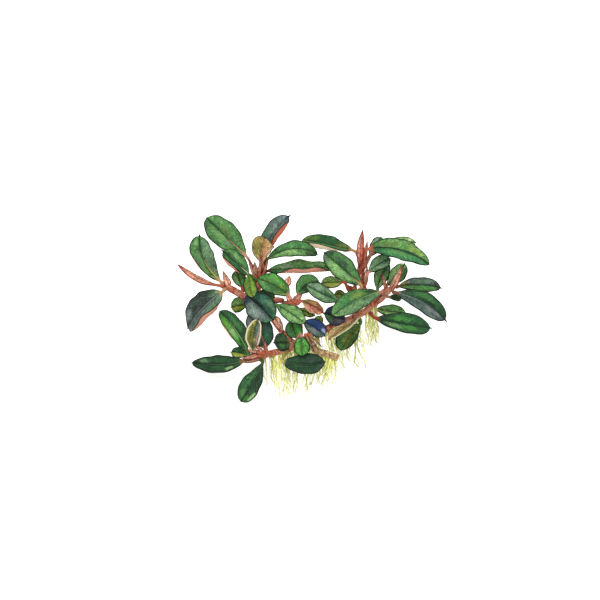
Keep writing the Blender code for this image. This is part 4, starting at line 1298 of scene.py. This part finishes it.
leaf("lower_left_leaf_long", "lower_left_rhizome", 0, (-36.4, 19.5, 16), (-62.6, 19, 28), 9.8,
     bend=(1, -1.5, -2), base_taper=0.62, slot="black_leaf", left="bottle", base="deep",
     stalk="brown", rib="grey_green", rib_reach=0.95, rib_width=0.16, touches=(
         (0.4, 0.78, 0.35, 0.12, "grey_green", 0.8), (-0.6, 0.28, 0.3, 0.12, "pale_green", 0.7),
         (-0.3, 0.5, 0.3, 0.16, "deep", 0.7), (0.4, 0.4, 0.3, 0.25, "deep", 0.7),
         (-0.4, 0.82, 0.3, 0.14, "deep", 0.5),
     ))
leaf("lower_left_leaf_forward", "lower_left_rhizome", 0.21, (-26.6, 18.8, 13.5), (-37.7, -1, -2),
     10.6, bend=(0.3, -0.3, -1), base_taper=0.95, tip_taper=0.5, slot="deep_leaf", left="bottle",
     right="deep", stalk="dark_olive", rib="grey_green", rib_reach=0.75, rib_width=0.16, touches=(
         (0.3, 0.78, 0.4, 0.16, "leaf", 0.8), (-0.35, 0.86, 0.4, 0.12, "grass", 0.6),
         (-0.78, 0.78, 0.25, 0.16, "pale_green", 0.9), (0.35, 0.4, 0.2, 0.3, "leaf", 0.5),
         (-0.4, 0.45, 0.3, 0.3, "night", 0.4),
     ))
leaf("centre_leaf_left", "centre_stem", 0.92, (-13.4, 52, 39), (-29.7, 60.8, 49), 11,
     bend=(0.9, 1, 0), slot="fresh_leaf", left="leaf", right="grass", base="moss", end="leaf",
     stalk="salmon", touches=(
         (-0.3, 0.5, 0.35, 0.25, "deep", 0.6), (0.4, 0.6, 0.35, 0.2, "fresh", 0.6),
         (0.2, 0.35, 0.3, 0.15, "olive", 0.6), (-0.5, 0.25, 0.35, 0.2, "dark_olive", 0.6),
         (0.1, 0.75, 0.25, 0.14, "moss", 0.6), (-0.4, 0.78, 0.3, 0.14, "fresh", 0.5),
     ))
leaf("centre_leaf_front", "centre_stem", 0.6, (-19.5, 47.5, 32), (-5, 38, 22), 9,
     bend=(0, 0.5, -1), slot="fresh_leaf", left="fresh", base="leaf", stalk="leaf", touches=(
         (0.4, 0.55, 0.4, 0.3, "pale_green", 0.6), (-0.4, 0.6, 0.35, 0.3, "fresh", 0.6),
         (-0.4, 0.25, 0.35, 0.2, "moss", 0.5),
     ))
leaf("centre_leaf_pink", "centre_stem", 0.82, (-7, 49.5, 37), (4.2, 43.2, 34), 7, bend=(0, 0.5, 0),
     turn=180, wave=0.5, slot="pink_leaf", left="dusty", right="brown", base="moss", end="dusty",
     under="salmon", under_share=0.0, margin="cream", margin_width=0.3, midline="crimson",
     midline_strength=1.0, stalk="coral", point="brick", touches=(
         (0.4, 0.4, 0.3, 0.3, "khaki", 0.5), (-0.4, 0.6, 0.3, 0.2, "brick", 0.5),
     ))
leaf("centre_leaf_arched", "centre_stem", 0.98, (-9, 52.5, 44), (2.3, 59, 54), 10.5,
     bend=(-1.2, 2, 0), slot="deep_leaf", left="leaf", right="deep", touches=(
         (-0.4, 0.5, 0.4, 0.3, "leaf", 0.7), (0.4, 0.35, 0.4, 0.2, "bottle", 0.6),
     ))
leaf("centre_leaf_round_upper", "centre_stem", 0.5, (-12.6, 40, 28), (-9.6, 30.4, 20.5), 9,
     slot="deep_leaf", left="grass", right="leaf", base="deep", end="deep", veins=0.6, touches=(
         (-0.4, 0.5, 0.5, 0.35, "grass", 0.75), (0.5, 0.6, 0.4, 0.3, "deep", 0.6),
     ))
leaf("centre_leaf_round_left", "lower_left_rhizome", 0.87, (-12.8, 28.5, 16), (-21.5, 29, 13),
     10.3, slot="black_leaf", left="bottle", base="dark_olive", touches=(
         (-0.4, 0.5, 0.4, 0.3, "leaf", 0.6), (0.3, 0.5, 0.3, 0.4, "dark_olive", 0.5),
     ))
leaf("centre_leaf_round_lower", "lower_left_rhizome", 0.95, (-7.3, 32, 15), (-7, 21.5, 8), 8.3,
     slot="fresh_leaf", left="grass", base="deep", midline="deep", touches=(
         (0.0, 0.5, 0.14, 0.16, "brown", 0.6), (0.5, 0.6, 0.3, 0.3, "lime", 0.5),
     ))
leaf("centre_leaf_very_dark", "lower_left_rhizome", 0.8, (-16.5, 19.5, 11), (5, 19.5, 7), 11.5,
     bend=(0, -1.5, -1), slot="black_leaf", left="bottle", end="dark_slate", stalk="straw",
     rib="grey_green", rib_reach=0.9, rib_width=0.12, mottle=0.5, touches=(
         (0.25, 0.4, 0.06, 0.4, "grey_green", 0.5), (-0.4, 0.6, 0.4, 0.3, "dark_slate", 0.6),
         (0.5, 0.5, 0.4, 0.3, "bottle", 0.5), (-0.3, 0.25, 0.3, 0.2, "deep", 0.5),
     ))
leaf("centre_leaf_dark_blue", "centre_stem", 0.25, (-6.2, 39.2, 27), (5.1, 31.8, 23), 9.4,
     bend=(0.1, 0.5, 0), fold=15, slot="blue_leaf", left="navy", right="slate", base="ink",
     midline="ink", midline_strength=1.0, touches=(
         (-0.4, 0.8, 0.4, 0.14, "lavender", 0.8), (0.4, 0.5, 0.4, 0.25, "lilac", 0.6),
         (-0.5, 0.4, 0.4, 0.3, "navy", 0.4), (0.5, 0.75, 0.3, 0.14, "teal", 0.5),
     ))
leaf("centre_leaf_grey_green", "middle_stem", 0.45, (11, 49.5, 46), (-5.6, 57.8, 44), 9,
     bend=(0, -0.3, 0), slot="slate_leaf", left="grey_green", base="sea", midline="bottle",
     midline_strength=0.9, touches=(
         (-0.4, 0.55, 0.35, 0.25, "pale_green", 0.6), (0.4, 0.7, 0.35, 0.2, "pale_slate", 0.4),
         (0.2, 0.3, 0.4, 0.16, "pine", 0.6),
     ))
leaf("middle_leaf_olive", "middle_stem", 0.82, (13.3, 59, 53.5), (1.9, 58.4, 51.5), 6.9,
     slot="olive_leaf", left="olive", right="moss", base="moss", end="dark_olive", stalk="brick",
     touches=(
         (-0.2, 0.5, 0.5, 0.3, "yellow_green", 0.5),
     ))
leaf("middle_leaf_long", "middle_stem", 0.65, (22.5, 57.5, 56), (3.6, 74.3, 63), 12.3,
     slot="fresh_leaf", left="fresh", right="leaf", base="deep", end="dark_slate", stalk="tan",
     rib_reach=0.3, rib_width=0.35, touches=(
         (-0.35, 0.5, 0.4, 0.35, "pale_green", 0.5), (0.4, 0.6, 0.35, 0.3, "dark_slate", 0.6),
         (0.12, 0.5, 0.12, 0.35, "bottle", 0.7), (-0.1, 0.3, 0.2, 0.08, "lilac", 0.4),
         (-0.5, 0.85, 0.3, 0.12, "grey_green", 0.7), (0.5, 0.85, 0.4, 0.1, "bottle", 0.7),
     ))
leaf("middle_leaf_big_front", "right_stem", 0.62, (32, 54, 56), (7.6, 41.8, 31), 11.8,
     bend=(0, 1.7, 0), slot="fresh_leaf", left="grey_green", right="leaf", base="leaf",
     end="fresh", rib="pale_green", rib_reach=0.9, rib_width=0.2, under="cream", margin_width=0.3,
     touches=(
         (0.5, 0.18, 0.5, 0.14, "night", 0.85), (0.4, 0.42, 0.4, 0.16, "yellow_green", 0.6),
         (0.35, 0.72, 0.4, 0.2, "sea", 0.6), (-0.4, 0.6, 0.4, 0.3, "fresh", 0.6),
         (-0.25, 0.32, 0.25, 0.14, "deep", 0.6), (0.15, 0.3, 0.15, 0.15, "moss", 0.5),
     ))
leaf("middle_leaf_violet", "middle_rhizome", 0.79, (15, 40, 40), (3.5, 43.5, 36.5), 10.5,
     slot="blue_leaf", left="violet", right="ink", end="deep", touches=(
         (-0.4, 0.75, 0.6, 0.25, "leaf", 0.8), (-0.4, 0.35, 0.4, 0.2, "lilac", 0.5),
         (0.5, 0.6, 0.4, 0.25, "violet", 0.6),
     ))
leaf("middle_leaf_edge_on", "middle_rhizome", 0.86, (21, 41, 39), (6.2, 30.3, 20), 8.4, turn=40,
     slot="olive_leaf", left="khaki", right="tan", base="tan", end="khaki", under="khaki",
     margin="cream", midline="umber", midline_strength=1.0, veins=0.6, stalk="salmon",
     point="brown", touches=(
         (0.3, 0.5, 0.2, 0.5, "dark_olive", 0.7), (-0.4, 0.5, 0.2, 0.5, "olive", 0.5),
     ))
leaf("middle_leaf_olive_low", "middle_rhizome", 0.94, (22, 37.8, 44), (12.3, 24.4, 29), 9.8,
     bend=(-1.5, 0.2, 0), slot="olive_leaf", left="moss", right="leaf", margin_width=0.7,
     veins=0.6, midline="yellow_green", midline_strength=0.4, stalk="leaf", touches=(
         (0.0, 0.55, 0.55, 0.3, "olive", 0.8), (0.1, 0.6, 0.3, 0.2, "yellow_green", 0.5),
         (-0.7, 0.5, 0.3, 0.4, "deep", 0.7),
     ))
leaf("upper_right_leaf_left", "upper_right_stem", 1, (18.5, 75, 74), (-7.3, 80.5, 86), 11.2,
     bend=(-1, 0.5, 0), face=65, turn=8, curl_left=160, flap_left=0.4, slot="deep_leaf",
     left="leaf", right="deep", base="moss", end="moss", under="cream", stalk="tan", touches=(
         (0.4, 0.75, 0.4, 0.16, "lime", 0.5), (0.3, 0.45, 0.4, 0.25, "deep", 0.6),
         (-0.3, 0.6, 0.35, 0.2, "grass", 0.6), (0.1, 0.2, 0.4, 0.14, "olive", 0.6),
         (-0.5, 0.3, 0.3, 0.2, "deep", 0.5),
     ))
leaf("upper_right_leaf_big", "upper_right_stem", 0.82, (26.6, 75.7, 70), (57.6, 67.3, 75), 11.3,
     bend=(1.2, 3.5, 0), base_taper=0.55, tip_taper=0.6, slot="fresh_leaf", left="fresh",
     right="sea", base="deep", end="leaf", midline_strength=1.0, stalk="coral", touches=(
         (-0.45, 0.7, 0.35, 0.2, "yellow_green", 0.7), (-0.4, 0.3, 0.35, 0.2, "moss", 0.7),
         (-0.3, 0.5, 0.3, 0.12, "grass", 0.6), (0.4, 0.45, 0.35, 0.3, "fresh", 0.7),
         (0.15, 0.6, 0.14, 0.25, "bottle", 0.6), (0.2, 0.9, 0.4, 0.1, "deep", 0.7),
         (0.4, 0.75, 0.3, 0.12, "sea", 0.6),
     ))
leaf("upper_right_leaf_behind", "upper_right_stem", 1, (29, 74, 80), (51, 79.3, 95), 8,
     bend=(0, 1.1, 0), slot="deep_leaf", left="pale_green", touches=(
         (-0.3, 0.8, 0.5, 0.12, "cream", 0.5), (0.2, 0.92, 0.5, 0.07, "pine", 0.8),
     ))
leaf("upper_right_spike_tall", "upper_right_stem", 0.7, (22, 65.5, 66), (23.5, 85.5, 71), 3.9,
     bend=(-0.5, 0, 0), thick=1.1, slot="red_stem", left="salmon", right="coral", base="crimson",
     midline="crimson", veins=0.15, under="salmon", margin="crimson", margin_width=0.36,
     stalk="brick", rolled=True, point="umber", base_reach=0.55, tip_taper=0.9)
leaf("upper_right_leaf_dark", "upper_right_stem", 0.45, (26.5, 64, 67), (38, 71, 73), 8,
     bend=(0, 1, 0), slot="deep_leaf", left="grey_green", end="sea", stalk="salmon", touches=(
         (-0.3, 0.4, 0.4, 0.3, "grey_green", 0.6), (0.3, 0.6, 0.4, 0.3, "teal", 0.5),
     ))
leaf("right_leaf_dark_upright", "right_stem", 0.58, (31, 55.5, 68), (37, 69.5, 75), 7.5,
     bend=(-1, 0, 0), slot="deep_leaf", left="fresh", base="grey_green", end="sea", stalk="leaf",
     touches=(
         (-0.3, 0.5, 0.4, 0.2, "grey_green", 0.6), (0.3, 0.75, 0.5, 0.2, "sea", 0.5),
     ))
leaf("right_leaf_olive_upright", "right_stem", 0.86, (35.8, 57.5, 74.5), (45, 69, 82), 8.5,
     bend=(0.8, -0.5, 0), slot="olive_leaf", left="pale_green", right="fresh", base="grey_green",
     end="pale_green", touches=(
         (0.6, 0.7, 0.3, 0.3, "deep", 0.6),
     ))
leaf("right_leaf_grey_green", "right_stem", 0.99, (41.5, 56.8, 71.5), (64.2, 55.8, 77), 8.4,
     bend=(0, 1.4, 0), point_length=2.2, tip_start=0.7, slot="slate_leaf", left="slate",
     right="leaf", base="moss", end="night", stalk="brown", touches=(
         (-0.4, 0.5, 0.4, 0.3, "grey_green", 0.6), (0.5, 0.6, 0.3, 0.25, "grass", 0.6),
         (-0.5, 0.15, 0.3, 0.14, "tan", 0.5), (-0.3, 0.8, 0.4, 0.12, "night", 0.6),
         (0.1, 0.45, 0.12, 0.3, "dark_slate", 0.6),
     ))
leaf("right_leaf_slate", "right_stem", 0.9, (40.5, 53.7, 67.8), (66.2, 38.8, 62), 11.4,
     bend=(1.4, 1.9, -1), fold=15, point_length=2.6, tip_start=0.7, slot="slate_leaf", left="deep",
     right="slate", base="dark_slate", end="night", rib="pale_slate", rib_reach=0.95,
     rib_width=0.2, stalk="brown", touches=(
         (-0.25, 0.55, 0.2, 0.25, "outline", 0.85), (-0.6, 0.45, 0.35, 0.25, "leaf", 0.6),
         (-0.5, 0.78, 0.4, 0.12, "bottle", 0.7), (0.3, 0.7, 0.35, 0.25, "lilac", 0.7),
         (0.5, 0.35, 0.4, 0.25, "dark_slate", 0.6), (0.6, 0.75, 0.25, 0.2, "dark_slate", 0.6),
     ))
leaf("right_leaf_low_olive", "right_stem", 0.45, (30.3, 45.3, 63), (46, 43.2, 67), 7.4,
     slot="olive_leaf", left="fresh", right="pale_green", base="moss", end="fresh", stalk="tan",
     touches=(
         (-0.4, 0.5, 0.3, 0.3, "grass", 0.5), (0.2, 0.4, 0.2, 0.3, "dark_olive", 0.6),
     ))
leaf("right_leaf_low_big", "right_stem", 0.05, (30, 40.8, 53), (58.6, 35.8, 58), 11.3,
     bend=(1, -0.2, -1), point_length=2.2, slot="deep_leaf", left="deep", base="bottle",
     end="bottle", midline="bottle", midline_strength=1.0, stalk="brick", touches=(
         (0.5, 0.3, 0.35, 0.2, "pale_green", 0.5), (0.4, 0.55, 0.35, 0.2, "grass", 0.8),
         (-0.4, 0.4, 0.35, 0.25, "grass", 0.7), (0.05, 0.5, 0.14, 0.4, "bottle", 0.7),
         (-0.4, 0.78, 0.4, 0.14, "deep", 0.7), (-0.6, 0.2, 0.3, 0.14, "night", 0.6),
     ))
leaf("left_leaf_small_dark", "left_stem", 0.82, (-37, 56.3, 52), (-40.2, 65.5, 60), 7,
     slot="black_leaf", left="fresh", right="leaf", base="leaf", stalk="brick")
leaf("centre_leaf_small_yellow", "centre_stem", 0.77, (-8.5, 45.5, 40), (0, 42, 37), 5,
     slot="yellow_leaf", left="yellow_green", end="straw", stalk="olive", touches=(
         (-0.5, 0.6, 0.4, 0.3, "khaki", 0.6),
     ))
leaf("centre_leaf_small_dark", "centre_stem", 0.92, (-20.5, 50.5, 44), (-28.3, 55, 47), 6.5,
     slot="black_leaf", left="pale_green", right="fresh", base="fresh", end="leaf", veins=0.6)
leaf("middle_leaf_small_olive", "middle_stem", 0.56, (15, 52.5, 54.5), (8.5, 53, 54), 5.2,
     slot="olive_leaf", left="yellow_green", right="olive", end="yellow_green")
leaf("upper_right_leaf_far", "upper_right_stem", 0.92, (27.3, 72, 81), (33.3, 82.3, 95), 6.6,
     slot="deep_leaf", left="grey_green", right="sea", base="sea", end="grey_green", touches=(
         (-0.4, 0.7, 0.4, 0.25, "pale_slate", 0.5),
     ))
leaf("right_leaf_small", "right_stem", 0.77, (37, 51.5, 72), (43.5, 50.5, 76), 4, slot="deep_leaf",
     left="deep", right="moss", base="dark_olive", end="deep")


# Floor, light and camera
FLOOR_SIZE = 8.0
FLOOR_GLOW = 0.5  # keeps the shadows on the pale floor faint
VIEW_WIDTH = 0.3  # metres across the picture
VIEW_DISTANCE = 4.0
SURROUND_GLOW = 0.75
SENSOR_WIDTH = 36.0
AIM = (-0.00685, 0.0, 0.03095)


def floor():
    data = bpy.data.meshes.new("floor")
    half = FLOOR_SIZE / 2
    corners = [(-half, -half, 0), (half, -half, 0), (half, half, 0), (-half, half, 0)]
    data.from_pydata(corners, [], [(0, 1, 2, 3)])
    body = bpy.data.objects.new("floor", data)
    bpy.context.scene.collection.objects.link(body)
    paint = new_material("floor_paint")
    shader = paint.node_tree.nodes["Principled BSDF"]
    shader.inputs["Base Color"].default_value = (0.95, 0.95, 0.945, 1.0)
    shader.inputs["Roughness"].default_value = 0.9
    shader.inputs["Specular IOR Level"].default_value = 0.1
    shader.inputs["Emission Color"].default_value = WHITE
    shader.inputs["Emission Strength"].default_value = FLOOR_GLOW
    data.materials.append(paint)


def soft_light(name, place, size, power, colour):
    """A round soft light that looks at the plant."""
    data = bpy.data.lights.new(name, "AREA")
    data.shape = "DISK"
    data.size = size
    data.energy = power
    data.color = colour
    body = bpy.data.objects.new(name, data)
    body.location = place
    look = -np.array(place, float)
    body.rotation_euler = (
        math.acos(-look[2] / np.linalg.norm(look)), 0.0, math.atan2(look[1], look[0]) - math.pi / 2
    )
    bpy.context.scene.collection.objects.link(body)


def camera():
    data = bpy.data.cameras.new("camera")
    data.sensor_width = SENSOR_WIDTH
    data.lens = SENSOR_WIDTH * VIEW_DISTANCE / VIEW_WIDTH
    tilt = math.radians(VIEW_TILT)
    body = bpy.data.objects.new("camera", data)
    body.location = (
        AIM[0],
        AIM[1] - VIEW_DISTANCE * math.cos(tilt),
        AIM[2] + VIEW_DISTANCE * math.sin(tilt),
    )
    body.rotation_euler = (math.pi / 2 - tilt, 0.0, 0.0)
    bpy.context.scene.collection.objects.link(body)
    bpy.context.scene.camera = body


floor()
camera()
soft_light("key_light", (-0.45, -0.5, 1.1), 1.1, 13.0, (1.0, 0.985, 0.96))
soft_light("fill_light", (0.7, -0.4, 0.9), 1.2, 6.0, (0.97, 0.985, 1.0))
world = bpy.data.worlds.new("room")
world.use_nodes = True
background = world.node_tree.nodes["Background"]
background.inputs["Color"].default_value = WHITE
background.inputs["Strength"].default_value = SURROUND_GLOW
bpy.context.scene.world = world
bpy.context.scene.view_settings.view_transform = "Standard"
